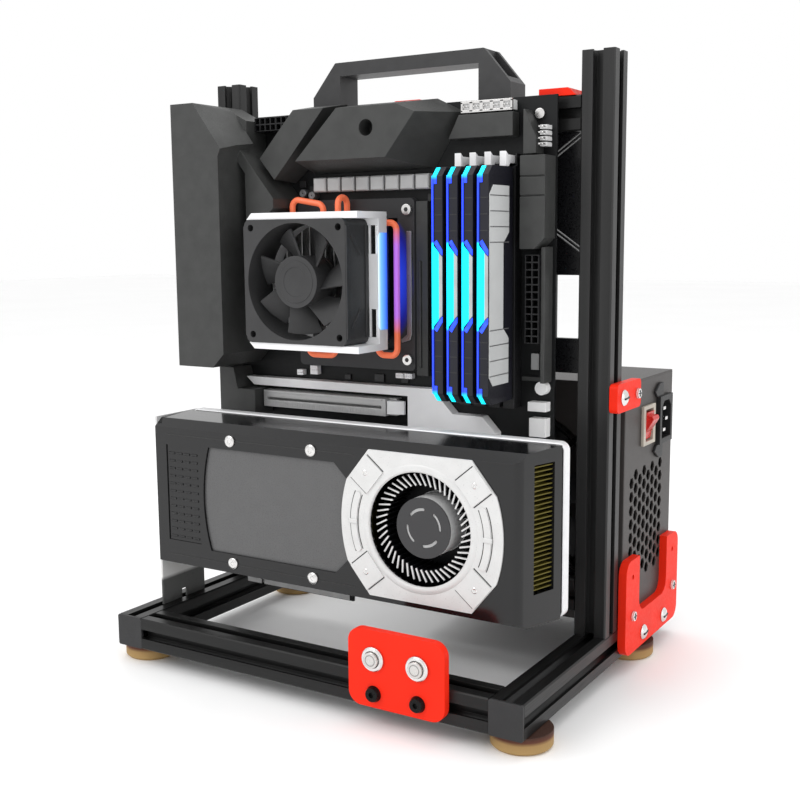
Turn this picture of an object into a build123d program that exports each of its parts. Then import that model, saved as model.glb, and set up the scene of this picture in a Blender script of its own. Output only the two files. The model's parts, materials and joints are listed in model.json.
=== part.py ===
from build123d import *
from math import cos, radians, sin
import os

os.makedirs("parts", exist_ok=True)

# all sizes in mm; x runs right, y runs back, z runs up
# places count from the base's left face, its front end and the rails' underside

# slotted profile
profile = 20.0
slot_open = 6.0
slot_lip = 1.8
slot_wide = 11.2
slot_depth = 6.1
slot_shoulder = 3.4
slot_floor = 5.8
core_bore = 4.2
edge_bevel = 0.8

# power supply, a standard size
psu_len = 140.0
psu_deep = 86.0
psu_tall = 150.0
psu_gap = 6.5
psu_rear = 5.5
sheet = 1.0
psu_hole_in = 6.0

# frame
base_w = 286.0
upright_y = 112.0
upright_len = 340.0
crossbar_top = 336.0
cap_t = 2.0
foot_r = 17.0
foot_h = 10.0
foot_rear_in = 54.0
foot_bevel = 1.5
half = profile / 2
rail_top = profile
right_x = base_w - profile
upright_mid = upright_y + half
base_d = upright_y + profile + psu_gap + psu_deep + psu_rear
rail_len = base_d - 2 * cap_t
inner_len = base_w - 2 * profile

# bolts and screws
bolt_r = 2.5
bolt_hole_r = 2.75
bolt_head_r = 4.75
bolt_head_h = 2.75
bolt_reach = 5.0
bolt_bevel = 1.0
hex_key = 1.7
hex_key_depth = 1.5
screw_r = 1.5
screw_hole_r = 1.65
screw_head_r = 3.0
screw_head_h = 2.0

# button plate with two push buttons
plate_t = 5.0
plate_r = 8.0
button_plate_in = 73.5
button_plate_x = base_w - button_plate_in
button_plate_w = 61.0
button_plate_z0 = 2.0
button_plate_h = 44.0
button_gap = 14.0
button_z = 30.0
bezel_r = 7.0
bezel_t = 2.0
bezel_bevel = 0.8
barrel_r = 6.0
barrel_fit = 0.1
barrel_back = 14.0
nut_r = 8.0
nut_t = 3.0
button_r = 4.5
button_clear = 0.3
button_out = 1.5
button_len = 5.0
button_travel = 1.5
button_spare = 0.5
button_xs = (button_plate_x - button_gap, button_plate_x + button_gap)
button_front = -plate_t - bezel_t - button_out

# red plates that carry the power supply
upper_h = 17.0
upper_r = 3.0
upper_lap = 6.5
lower_z0 = 2.0
lower_z1 = 61.5
lower_arm = 23.0
lower_u_z = 25.0
lower_u_r = 9.0
lower_bolt_in = 25.5
lower_bolt_gap = 38.0
spare_hole_z = 50.5

# carry handle and clips on the crossbar
handle_off = 8.5
handle_x = base_w / 2 + handle_off
handle_half = 70.5
handle_top_half = 53.2
handle_grip_half = 49.5
handle_end_h = 10.5
handle_h = 31.0
grip_t = 8.4
handle_round = 1.5
pocket_wall = 3.0
pocket_floor = 7.0
clip_w = 23.0
clip_t = 4.5
clip_bevel = 5.0
clip_mid_off = -0.5
clip_right_in = 26.0
clip_xs = (base_w / 2 + clip_mid_off, right_x - clip_right_in)

# back panel
panel_t = 4.0
panel_z0 = 177.0
panel_in_slot = 4.0
window_w = 15.0
window_in = 2.5
window_z0 = 197.5
window_h = 37.0
slit_w = 0.8
slit_len = 21.0
slit_gap = 2.6
slit_angle = 35.0
slit_in = 10.3
slit_zs = (309.0, 255.0)

# power supply fittings
mesh_across = 6.4
mesh_pitch = 8.6
mesh_cols = 8
mesh_rows = 8
mesh_in = 39.5
mesh_up = 59.0
fan_big = 120.0
fan_big_deep = 25.0
fan_big_r = 56.0
fan_big_hub = 20.0
fan_big_tip = 51.0
fan_big_chord = 30.0
rotor_deep = 18.0
rotor_front = 2.0
grille_wire = 1.6
grille_rs = (16.0, 34.0, 52.0)
grille_lap = 3.0
strut_t = 3.0
strut_w = 6.0
inlet_in = 67.5
inlet_down = 30.0
inlet_w = 24.0
inlet_h = 31.0
inlet_out = 3.0
inlet_body_in = 1.5
inlet_back = 22.0
recess_w = 17.0
recess_h = 24.0
recess_cut = 4.0
recess_deep = 16.0
pin_t = 2.0
pin_w = 4.0
pin_step = 7.0
pin_offset = 2.0
pin_len = 11.0
switch_in = 38.5
switch_w = 21.0
switch_h = 25.0
switch_out = 2.0
switch_wall = 2.5
switch_back = 14.0
rocker_in = 2.0
rocker_gap = 1.0
rocker_side_gap = 0.4
rocker_tilt = 8.0
rocker_deep = 6.0
rocker_nose = 3.0
rocker_rise = 3.5
rocker_crown = 0.4

# board, a standard size; outlines on it count from its left or right edge and down from its top
board_w = 243.84
board_h = 304.8
board_t = 1.6
board_x0 = 11.5
hole_edge = 10.16
hole_low = 12.7
hole_mid = 132.08
standoff_af = 8.0
standoff_len = 6.4
stud_r = 1.5
stud_len = 4.0
board_back = upright_y - standoff_len
board_y = board_back - board_t
board_x1 = board_x0 + board_w
board_top = crossbar_top - half + hole_edge
board_z0 = board_top - board_h
lower_mid = board_z0 + hole_low

# port cover with a leaned facet at its top and a lower step beside it
port_cover_out = 49.0
port_cover_wall = 2.0
port_cover_right = 36.0
port_cover_left = -2.0
port_cover_front = (
    (-2.0, 161.2), (27.0, 161.2), (36.0, 152.2), (36.0, 28.0), (39.5, 20.5), (41.5, 19.0), (41.5, 5.0),
    (16.5, -5.8), (-2.0, -5.8),
)
port_cover_rear = ((-2.0, 161.2), (27.0, 161.2), (36.0, 152.2), (36.0, 4.0), (16.5, -5.8), (-2.0, -5.8))
facet_top = (16.5, 49.0, -5.8)
facet_low = (36.0, 49.0, 20.5)
facet_back = (41.5, 26.0, 20.5)
port_step_out = 30.0
port_step = (
    (46.0, 120.2), (42.0, 116.0), (42.0, 38.0), (32.5, 26.0), (35.0, 18.0), (39.0, 24.0), (64.0, 54.0),
    (64.0, 60.0), (54.5, 68.0), (54.5, 110.2),
)
port_link_out = 20.0
port_link = ((36.0, 140.2), (43.0, 140.2), (43.0, 36.2), (36.0, 36.2))
port_hollow_top = 22.0
port_hollow_low = 150.0
port_out = 44.0
port_left = -5.5
port_right = 20.0
port_tops = (26.0, 52.0, 72.0, 92.0, 112.0, 130.0)
port_tall = 16.0
port_depth = 8.0
port_rim = 1.5
port_edge = 4.0

# regulator covers, chokes and processor bracket
vrm_out = 32.0
vrm_front = (
    (83.3, 32.2), (114.4, 2.2), (board_w - 87.3, 2.2), (board_w - 74.8, 7.4), (board_w - 95.1, 32.4),
)
vrm_back = (
    (76.5, 38.7), (108.5, -2.8), (board_w - 77.3, -2.8), (board_w - 58.3, 6.2), (board_w - 79.3, 38.2),
)
wing_out = 23.0
wing_front = ((48.5, 28.7), (75.5, 0.2), (99.0, 0.2), (70.5, 31.2), (60.0, 42.2))
wing_back = ((47.5, 29.7), (74.0, -3.8), (102.0, -3.8), (72.0, 34.2), (60.0, 43.7))
vrm_hole_x = board_w - 108.3
vrm_hole_down = 14.7
vrm_hole_r = 4.8
vrm_hole_deep = 12.0
screw_room = 1.0
choke_w = 9.6
choke_h = 9.0
choke_out = 8.0
choke_pitch = 10.8
choke_left = 84.0
choke_right = 73.0
choke_count = int((board_w - choke_left - choke_right) / choke_pitch)
choke_down = 50.2
choke_bevel = 0.8
bracket_t = 5.0
bracket_bar = 12.0
bracket_left = 64.5
bracket_w = 88.0
bracket_top = 55.2
bracket_h = 106.0
bracket_r = 3.0
bracket_screw_r = 3.4
bracket_screw_h = 2.5
bracket_screw_in = 4.5
bracket_screw_down = 7.0

# covers, sockets and headers
side_cover_out = 15.0
side_cover = ((16.0, 34.0), (0.5, 34.0), (0.5, 80.0), (7.0, 86.2), (16.0, 86.2))
side_cover_grooves = (45.6, 56.4)
groove_w = 0.8
corner_cover_out = 11.0
corner_cover = ((16.0, 33.0), (16.0, 8.2), (15.0, 8.2), (8.0, 24.0), (8.0, 33.0))
top_cover_out = 9.0
top_cover = ((58.5, 8.7), (23.5, 8.7), (23.5, 22.2), (65.5, 22.2))
lower_cover_out = 19.0
lower_cover = ((6.5, 195.2), (6.5, 164.2), (18.5, 164.2), (22.0, 178.2), (36.5, 178.2), (36.5, 195.2))
socket_cell = 3.4
cell_pitch = 4.2
socket_rim = 0.2
socket_deep = 9.0
main_socket_out = 13.0
main_socket_in = 8.9
main_socket_down = 114.7
small_socket_out = 12.0
small_socket_down = 6.2
small_socket_xs = (45.0, 58.0)
top_header_w = 5.6
top_header_pitch = 6.6
top_header_count = 5
top_header_in = 56.8
top_header_down = 1.7
top_header_h = 5.6
header_out = 7.0
pin_header_count = 4
pin_header_pitch = 3.2
pin_header_h = 2.4
pin_header_w = 4.6
pin_header_in = 3.0
pin_header_down = 17.0
edge_headers = ((11.8, 6.8, 155.7, 146.2), (13.8, 2.3, 180.2, 174.7), (12.8, 2.3, 195.2, 184.2))
coin_r = 4.0
coin_in = 6.3
coin_down = 166.7
coin_out = 5.0

# card slot and its latch
pcie_out = 11.0
pcie_left = 37.5
pcie_w = 96.5
pcie_down = 179.16
pcie_h = 11.0
pcie_end = 3.0
pcie_groove = 1.8
pcie_groove_deep = 7.0
pcie_ear_t = 1.0
pcie_ear_len = 5.5
pcie_ear_out = 6.0
pcie_latch_gap = 0.3
pcie_latch_side = 0.5
pcie_latch_outline = ((0.0, 10.0), (4.0, 10.0), (11.0, 7.0), (11.0, 5.0), (4.5, 4.0), (4.0, 1.5), (0.0, 1.5))

# white cover, clear of the card slot's latch
latch_room = 14.5
white_cover_out = 8.0
white_cover_left = pcie_left + pcie_w + latch_room
white_cover_outline = (
    (27.0, 176.7), (20.5, 171.2), (board_w - 77.3, 171.2), (board_w - 63.3, 185.7), (board_w - 43.3, 185.7),
    (board_w - 34.3, 195.2), (board_w - 34.3, 236.2), (white_cover_left, 236.2), (white_cover_left, 176.7),
)

# memory
memory_in = 54.04
memory_pitch = 9.65
memory_count = 4
memory_down = 39.96
memory_len = 133.4
memory_out = 42.0
memory_bevel = 5.0
spreader_t = 6.6
spreader_out = 11.0
module_t = 1.4
module_seat = 4.0
groove_t = 1.8
seat_gap = 0.2
slot_w = 7.2
slot_out = 9.0
slot_low = 5.8
slot_high = 0.8
cheek_t = 1.2
cheek_out = 7.0
cheek_h = 7.0
latch_w = 4.2
latch_gap = 1.4
latch_t = 4.6
latch_out = 18.0
latch_root = 1.5
latch_nose = 4.0
latch_drop = 1.9
latch_ramp = 1.5
latch_lip = 3.0
latch_rise = 2.0
light_out = 1.0
light_line = 1.0
light_half = 24.0
light_slant = 5.0
light_w = 4.4

# cooler
cool_in = 97.3
cool_down = 105.16
fan_small = 75.0
fan_small_out = 54.0
fan_small_deep = 24.0
fan_small_r = 35.2
fan_small_hub = 15.7
fan_small_tip = 32.2
fan_small_chord = 23.0
fan_small_front = 1.5
fan_corner = 4.0
fan_hole_in = 5.0
fan_hole_r = 2.1
fan_blades = 7
blade_t = 1.2
blade_root_pitch = 48.0
blade_tip_pitch = 30.0
blade_sweep = 14.0
blade_root_share = 0.55
blade_sink = 1.5
axle_r = 2.0
axle_fit = 0.06
axle_len = 10.0
spider_w = 4.0
housing_rim = 4.0
housing_side = 8.0
housing_back_t = 9.0
housing_lap = 23.0
housing_cut = 5.0
vent_w = 4.0
vent_h = 17.0
vent_in = 2.0
vent_down = 8.0
sink_half_x = 37.0
sink_half_z = 38.0
sink_base = 5.0
sink_fins = 13
processor_half = 19.0
pipe_r = 2.0
pipe_sides = 8
pipe_bend = 4.5
pipe_gap = 0.5
pipe_out = 14.0
side_pipe_in = 3.0
side_pipe_drop = 8.0
side_pipe_back = 14.0
# each loop: its two ends across, back and beyond the fins' middle, then the end of the fins that it leaves
pipe_loops = (
    ((-30.0, 0.0, 13.0), (-6.0, 0.0, 9.0), sink_half_z),
    ((8.0, -4.0, 13.0), (8.0, 6.0, 13.0), sink_half_z),
    ((-19.0, 0.0, -10.0), (2.0, 0.0, -10.0), -sink_half_z),
)

# graphics card; its outlines count from its left end and up from the rails
card_x0 = 13.0
card_out = 44.0
card_face_out = 77.3
card_bevel_out = 71.0
card_face_len = 257.6
card_len = 267.0
card_low = 27.5
card_high = 125.0
card_face_low = 31.0
card_face_high = 119.0
card_shoulder = 1.0
card_face_t = 1.5
card_wall = 2.5
card_end_r = 5.0
card_board_t = 1.6
card_board_low = 29.0
card_board_high = 123.0
card_board_len = 263.0
recess_x0 = 9.0
recess_x1 = 36.0
recess_low = 46.0
recess_high = 108.0
recess_in = 0.7
pane_x0 = 39.0
pane_x1 = 148.0
pane_mid = 76.0
pane_half = 33.0
pane_bow = 5.0
pane_cut = 9.0
pane_lap = 2.0
pane_t = 2.0
card_screw_r = 3.6
card_screw_h = 1.2
card_screws = ((62.0, 37.5), (123.0, 37.5), (62.0, 114.5), (123.0, 114.5))
blower_in = 196.6
blower_up = 76.5
blower_open_r = 32.5
ring_r = 52.0
ring_t = 1.0
ring_flat = 33.0
ring_half = 42.5
ring_flank_x = 48.0
ring_flank_z = 24.0
ring_pad_r = 44.5
ring_pad_angle = 39.5
ring_pad_long = 15.0
ring_pad_wide = 17.0
ring_pad_t = 0.8
ring_rib_r = 43.0
ring_rib_half = 21.0
ring_rib_w = 4.0
wheel_r = 31.5
wheel_blade_r = 27.6
wheel_blade_len = 7.6
wheel_blade_t = 0.9
wheel_blades = 48
wheel_lean = 28.0
wheel_hub_r = 17.4
wheel_in = 3.8
wheel_deep = 20.0
wheel_disc = 1.5
hub_slot_r = 10.5
hub_slot_w = 1.6
hub_slot_sweep = 50.0
hub_slot_deep = 1.0
motor_half = 5.0
motor_gap = 2.0
end_open_y0 = 11.3
end_open_y1 = 27.3
end_open_low = 46.0
end_open_high = 117.0
end_fins = 16
end_fin_in = 0.6
end_fin_w = 3.4
fin_t = 1.2
card_sink_x0 = 17.0
card_sink_x1 = 147.0
card_sink_base = 5.0
card_sink_out = 27.0
card_sink_fins = 14
finger_x0 = 45.0
finger_x1 = 129.0
finger_low = 14.5
finger_key_x = 57.5
finger_key_w = 2.0
finger_key_h = 8.0
bracket_card_t = 1.5
bracket_card_w = 40.0
bracket_card_back = 8.6
bracket_notch = 4.5
bracket_notch_h = 6.0
bracket_port_w = 8.0
bracket_port_h = 18.0
bracket_port_in = 3.0
bracket_ports = (36.0, 60.0, 84.0)
bracket_vent_w = 12.0
bracket_vent_h = 6.0
bracket_vent_low = 38.0
bracket_vent_pitch = 9.5
bracket_vents = 8
shell_deep = 7.4
shell_wall = 2.0
shell_len = 268.0
shell_low = 26.7
shell_high = 126.0
shell_r = 5.0

# shift from the base's corner to the middle of the footprint, at floor level
left_most = min(0.0, half - foot_r)
right_most = base_w + plate_t + bolt_head_h
shift_x = -(left_most + right_most) / 2
shift_y = -(button_front + base_d) / 2
shift_z = foot_h


def at(x, y, z):
    return (x + shift_x, y + shift_y, z + shift_z)


def front_plane(y):
    return Plane(origin=at(0, y, 0), x_dir=(1, 0, 0), z_dir=(0, -1, 0))


def side_plane(x):
    return Plane(origin=at(x, 0, 0), x_dir=(0, 1, 0), z_dir=(1, 0, 0))


def top_plane(z):
    return Plane(origin=at(0, 0, z), x_dir=(1, 0, 0), z_dir=(0, 0, 1))


def from_left(points):
    return [(board_x0 + across, board_top - down) for across, down in points]


def from_right(points):
    return [(board_x1 - inward, board_top - down) for inward, down in points]


def block(x0, x1, y0, y1, z0, z1, mode=Mode.ADD):
    with Locations(at((x0 + x1) / 2, (y0 + y1) / 2, (z0 + z1) / 2)):
        Box(x1 - x0, y1 - y0, z1 - z0, mode=mode)


turns = {"x": (0, 90, 0), "y": (-90, 0, 0), "z": (0, 0, 0)}
ways = {"x": (1, 0, 0), "y": (0, 1, 0), "z": (0, 0, 1)}


def rod(x, y, z, radius, length, way, mode=Mode.ADD):
    start = (Align.CENTER, Align.CENTER, Align.MIN)
    with Locations(Location(at(x, y, z), turns[way])):
        Cylinder(radius, length, align=start, mode=mode)


def slab(plane, points, thick, mode=Mode.ADD):
    with BuildSketch(plane) as outline:
        Polygon(*points, align=None)
    extrude(outline.sketch, amount=thick, dir=plane.z_dir, mode=mode)


def taper(front, back, y0, y1):
    with BuildSketch(front_plane(y0)) as near:
        Polygon(*front, align=None)
    with BuildSketch(front_plane(y1)) as far:
        Polygon(*back, align=None)
    loft([near.sketch.face(), far.sketch.face()], ruled=True)


def rail(x, y, z, length, way):
    across = (1, 0, 0)
    if way == "x":
        across = (0, 1, 0)
    plane = Plane(origin=at(x, y, z), x_dir=across, z_dir=ways[way])
    shoulder = half - slot_shoulder
    floor = half - slot_depth
    groove = (
        (half + 1, slot_open / 2),
        (half - slot_lip, slot_open / 2),
        (half - slot_lip, slot_wide / 2),
        (shoulder, slot_wide / 2),
        (floor, slot_floor / 2),
        (floor, -slot_floor / 2),
        (shoulder, -slot_wide / 2),
        (half - slot_lip, -slot_wide / 2),
        (half - slot_lip, -slot_open / 2),
        (half + 1, -slot_open / 2),
    )
    with BuildSketch(plane) as section:
        Rectangle(profile, profile)
        chamfer(section.vertices(), edge_bevel)
        with PolarLocations(0, 4):
            Polygon(*groove, align=None, mode=Mode.SUBTRACT)
        Circle(core_bore / 2, mode=Mode.SUBTRACT)
    extrude(section.sketch, amount=length, dir=ways[way])


def head_bolt(place, grip):
    # the head bears on the place given and looks along its z; the shank runs back through the grip
    inward = (Align.CENTER, Align.CENTER, Align.MAX)
    outward = (Align.CENTER, Align.CENTER, Align.MIN)
    with Locations(place):
        Cylinder(bolt_r, grip + bolt_reach, align=inward)
        Cone(bolt_head_r, bolt_head_r - bolt_bevel, bolt_head_h, align=outward)
    with BuildSketch(Plane(place * Location((0, 0, bolt_head_h)))) as key:
        RegularPolygon(hex_key, 6)
    extrude(key.sketch, amount=-hex_key_depth, mode=Mode.SUBTRACT)


# frame
with BuildPart() as base_side_rails:
    rail(half, cap_t, half, rail_len, "y")
    rail(base_w - half, cap_t, half, rail_len, "y")
base_side_rails.part.label = "base_side_rails"
export_step(base_side_rails.part, "parts/base_side_rails.step")

with BuildPart() as base_cross_rails:
    rail(profile, half, half, inner_len, "x")
    rail(profile, base_d - half, half, inner_len, "x")
base_cross_rails.part.label = "base_cross_rails"
export_step(base_cross_rails.part, "parts/base_cross_rails.step")

with BuildPart() as upright_left:
    rail(half, upright_mid, rail_top, upright_len, "z")
upright_left.part.label = "upright_left"
export_step(upright_left.part, "parts/upright_left.step")

with BuildPart() as upright_right:
    rail(base_w - half, upright_mid, rail_top, upright_len, "z")
upright_right.part.label = "upright_right"
export_step(upright_right.part, "parts/upright_right.step")

with BuildPart() as crossbars:
    rail(profile, upright_mid, crossbar_top - half, inner_len, "x")
    rail(profile, upright_mid, lower_mid, inner_len, "x")
crossbars.part.label = "crossbars"
export_step(crossbars.part, "parts/crossbars.step")

with BuildPart() as rail_end_caps:
    for cap_y in (cap_t, base_d):
        with BuildSketch(front_plane(cap_y)) as cap_face:
            with Locations((half, half), (base_w - half, half)):
                Rectangle(profile, profile)
            chamfer(cap_face.vertices(), edge_bevel)
        extrude(amount=cap_t)
rail_end_caps.part.label = "rail_end_caps"
export_step(rail_end_caps.part, "parts/rail_end_caps.step")

with BuildPart() as feet:
    for foot_x in (half, base_w - half):
        for foot_y in (profile, base_d - foot_rear_in):
            rod(foot_x, foot_y, -foot_h, foot_r, foot_h, "z")
    chamfer(feet.edges().filter_by(GeomType.CIRCLE).group_by(Axis.Z)[0], foot_bevel)
feet.part.label = "feet"
export_step(feet.part, "parts/feet.step")

# button plate with two push buttons
with BuildPart() as button_plate:
    with BuildSketch(front_plane(0)):
        with Locations((button_plate_x, button_plate_z0 + button_plate_h / 2)):
            RectangleRounded(button_plate_w, button_plate_h, plate_r)
    extrude(amount=plate_t)
    for button_x in button_xs:
        rod(button_x, -plate_t, half, bolt_hole_r, plate_t, "y", Mode.SUBTRACT)
        rod(button_x, -plate_t, button_z, barrel_r + barrel_fit, plate_t, "y", Mode.SUBTRACT)
button_plate.part.label = "button_plate"
export_step(button_plate.part, "parts/button_plate.step")

# half section of a button body, from its rim to its tail
bore_r = button_r + button_clear
barrel_end = bezel_t + plate_t + barrel_back
bore_end = button_len - button_out + button_travel + button_spare
body_section = (
    (bore_r, 0.0), (bezel_r - bezel_bevel, 0.0), (bezel_r, bezel_bevel), (bezel_r, bezel_t),
    (barrel_r, bezel_t), (barrel_r, barrel_end), (0.0, barrel_end), (0.0, bore_end), (bore_r, bore_end),
)
with BuildPart() as button_bodies:
    for button_x in button_xs:
        rim_middle = at(button_x, -plate_t - bezel_t, button_z)
        with BuildSketch(Plane(origin=rim_middle, x_dir=(1, 0, 0), z_dir=(0, 0, 1))):
            Polygon(*body_section, align=None)
        revolve(axis=Axis(rim_middle, (0, 1, 0)))
        with BuildSketch(front_plane(nut_t)):
            with Locations((button_x, button_z)):
                RegularPolygon(nut_r, 6)
        extrude(amount=nut_t)
button_bodies.part.label = "button_bodies"
export_step(button_bodies.part, "parts/button_bodies.step")

with BuildPart() as power_button:
    rod(button_xs[1], button_front, button_z, button_r, button_len, "y")
power_button.part.label = "power_button"
export_step(power_button.part, "parts/power_button.step")

with BuildPart() as reset_button:
    rod(button_xs[0], button_front, button_z, button_r, button_len, "y")
reset_button.part.label = "reset_button"
export_step(reset_button.part, "parts/reset_button.step")

# red plates that carry the power supply
psu_x0 = base_w - psu_len
psu_z0 = rail_top
psu_z1 = psu_z0 + psu_tall
psu_y0 = upright_y + profile + psu_gap
psu_y1 = psu_y0 + psu_deep
psu_mid_x = psu_x0 + psu_len / 2
psu_mid_z = psu_z0 + psu_tall / 2
hole_low_z = psu_z0 + psu_hole_in
hole_high_z = psu_z1 - psu_hole_in
hole_front_y = psu_y0 + psu_hole_in
hole_rear_y = psu_y1 - psu_hole_in
psu_holes = ((hole_front_y, hole_high_z), (hole_front_y, hole_low_z), (hole_rear_y, hole_low_z))

with BuildPart() as psu_plate_upper:
    upper_len = hole_front_y + upper_lap - upright_y
    with BuildSketch(side_plane(base_w)):
        with Locations((upright_y + upper_len / 2, hole_high_z)):
            RectangleRounded(upper_len, upper_h, upper_r)
    extrude(amount=plate_t)
    rod(base_w, upright_mid, hole_high_z, bolt_hole_r, plate_t, "x", Mode.SUBTRACT)
    rod(base_w, hole_front_y, hole_high_z, screw_hole_r, plate_t, "x", Mode.SUBTRACT)
psu_plate_upper.part.label = "psu_plate_upper"
export_step(psu_plate_upper.part, "parts/psu_plate_upper.step")

lower_bolt_ys = (psu_y0 + lower_bolt_in, psu_y0 + lower_bolt_in + lower_bolt_gap)
with BuildPart() as psu_plate_lower:
    lower_len = hole_rear_y - hole_front_y + lower_arm
    lower_mid_y = (hole_front_y + hole_rear_y) / 2
    mouth_h = 2 * (lower_z1 - lower_u_z)
    with BuildSketch(side_plane(base_w)):
        with Locations((lower_mid_y, (lower_z0 + lower_z1) / 2)):
            RectangleRounded(lower_len, lower_z1 - lower_z0, plate_r)
        with Locations((lower_mid_y, lower_u_z + mouth_h / 2)):
            RectangleRounded(lower_len - 2 * lower_arm, mouth_h, lower_u_r, mode=Mode.SUBTRACT)
    extrude(amount=plate_t)
    for bolt_y in lower_bolt_ys:
        rod(base_w, bolt_y, half, bolt_hole_r, plate_t, "x", Mode.SUBTRACT)
    for hole_y in (hole_front_y, hole_rear_y):
        rod(base_w, hole_y, hole_low_z, screw_hole_r, plate_t, "x", Mode.SUBTRACT)
        rod(base_w, hole_y, spare_hole_z, screw_hole_r, plate_t, "x", Mode.SUBTRACT)
psu_plate_lower.part.label = "psu_plate_lower"
export_step(psu_plate_lower.part, "parts/psu_plate_lower.step")

with BuildPart() as plate_bolts:
    head_bolt(Location(at(base_w + plate_t, upright_mid, hole_high_z), (0, 90, 0)), plate_t)
    for bolt_y in lower_bolt_ys:
        head_bolt(Location(at(base_w + plate_t, bolt_y, half), (0, 90, 0)), plate_t)
plate_bolts.part.label = "plate_bolts"
export_step(plate_bolts.part, "parts/plate_bolts.step")

# carry handle on the crossbar, bolted through the floors of its two pockets
grip_top = crossbar_top + handle_h
end_top = crossbar_top + handle_end_h
bolt_spread = (handle_half + handle_grip_half) / 2
pocket_xs = (handle_x - bolt_spread, handle_x + bolt_spread)
pocket_z0 = crossbar_top + pocket_floor
with BuildPart() as carry_handle:
    with BuildSketch(front_plane(upright_y + profile)) as handle_face:
        Polygon(
            (handle_x - handle_half, crossbar_top),
            (handle_x - handle_half, end_top),
            (handle_x - handle_top_half, grip_top),
            (handle_x + handle_top_half, grip_top),
            (handle_x + handle_half, end_top),
            (handle_x + handle_half, crossbar_top),
            align=None,
        )
        fillet(handle_face.vertices().group_by(Axis.Y)[-1], handle_round)
        with Locations((handle_x, crossbar_top + (handle_h - grip_t) / 2)):
            Rectangle(2 * handle_grip_half, handle_h - grip_t, mode=Mode.SUBTRACT)
    extrude(amount=profile)
    pocket_half = (handle_half - handle_grip_half) / 2 - pocket_wall
    for pocket_x in pocket_xs:
        block(pocket_x - pocket_half, pocket_x + pocket_half, upright_y + pocket_wall,
              upright_y + profile - pocket_wall, pocket_z0, grip_top + 1, Mode.SUBTRACT)
        rod(pocket_x, upright_mid, crossbar_top, bolt_hole_r, pocket_floor, "z", Mode.SUBTRACT)
carry_handle.part.label = "carry_handle"
export_step(carry_handle.part, "parts/carry_handle.step")

with BuildPart() as black_bolts:
    for button_x in button_xs:
        head_bolt(Location(at(button_x, -plate_t, half), (90, 0, 0)), plate_t)
    for pocket_x in pocket_xs:
        head_bolt(Location(at(pocket_x, upright_mid, pocket_z0)), pocket_floor)
black_bolts.part.label = "black_bolts"
export_step(black_bolts.part, "parts/black_bolts.step")

with BuildPart() as crossbar_clips:
    clip_top = crossbar_top + clip_t
    for clip_x in clip_xs:
        clip_end = clip_x + clip_w
        clip_face = (
            (clip_x, crossbar_top), (clip_x, clip_top), (clip_end - clip_bevel, clip_top),
            (clip_end, crossbar_top),
        )
        slab(front_plane(upright_y + profile), clip_face, profile)
crossbar_clips.part.label = "crossbar_clips"
export_step(crossbar_clips.part, "parts/crossbar_clips.step")

# back panel held in the slots of the uprights and the crossbar
panel_y1 = upright_mid - slot_open / 2 + panel_t
with BuildPart() as back_panel:
    panel_w = inner_len + 2 * panel_in_slot
    panel_h = crossbar_top - profile + panel_in_slot - panel_z0
    with BuildSketch(front_plane(panel_y1)):
        with Locations((base_w / 2, panel_z0 + panel_h / 2)):
            Rectangle(panel_w, panel_h)
        with Locations((right_x - window_in - window_w / 2, window_z0 + window_h / 2)):
            Rectangle(window_w, window_h, mode=Mode.SUBTRACT)
        for slit_z, slit_turn in zip(slit_zs, (slit_angle, -slit_angle)):
            with Locations((right_x - slit_in, slit_z)):
                with GridLocations(0, slit_gap, 1, 2):
                    Rectangle(slit_len, slit_w, rotation=slit_turn, mode=Mode.SUBTRACT)
    extrude(amount=panel_t)
back_panel.part.label = "back_panel"
export_step(back_panel.part, "parts/back_panel.step")

# board standoffs on the crossbars, and all small screws
board_holes = []
for hole_x in (hole_edge, hole_mid, board_w - hole_edge):
    for hole_z in (board_top - hole_edge, lower_mid):
        board_holes.append((board_x0 + hole_x, hole_z))
with BuildPart() as standoffs:
    with BuildSketch(front_plane(upright_y)):
        with Locations(*board_holes):
            RegularPolygon(standoff_af / 2, 6, major_radius=False)
    extrude(amount=standoff_len)
    for hole_x, hole_z in board_holes:
        rod(hole_x, upright_y, hole_z, stud_r, stud_len, "y")
standoffs.part.label = "standoffs"
export_step(standoffs.part, "parts/standoffs.step")

card_board_y = board_y - card_out
card_face_y = board_y - card_face_out
bracket_y = board_y - bracket_t
bracket_x1 = board_x0 + bracket_left + bracket_w
bracket_z1 = board_top - bracket_top
bracket_screw_x = bracket_x1 - bracket_screw_in
bracket_screw_zs = (bracket_z1 - bracket_screw_down, bracket_z1 - bracket_h + bracket_screw_down)
with BuildPart() as small_screws:
    for hole_x, hole_z in board_holes:
        rod(hole_x, board_y - screw_head_h, hole_z, screw_head_r, screw_head_h, "y")
        rod(hole_x, board_y, hole_z, screw_r, board_t, "y")
    for hole_y, hole_z in psu_holes:
        rod(base_w + plate_t, hole_y, hole_z, screw_head_r, screw_head_h, "x")
        rod(base_w - sheet, hole_y, hole_z, screw_r, plate_t + sheet, "x")
    for screw_x, screw_up in card_screws:
        screw_z = rail_top + screw_up
        rod(card_x0 + screw_x, card_face_y - card_screw_h, screw_z, card_screw_r, card_screw_h, "y")
        rod(card_x0 + screw_x, card_face_y, screw_z, screw_r, card_face_t, "y")
    for screw_z in bracket_screw_zs:
        rod(bracket_screw_x, bracket_y - bracket_screw_h, screw_z, bracket_screw_r, bracket_screw_h, "y")
        rod(bracket_screw_x, bracket_y, screw_z, screw_r, bracket_t, "y")
small_screws.part.label = "small_screws"
export_step(small_screws.part, "parts/small_screws.step")

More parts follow.
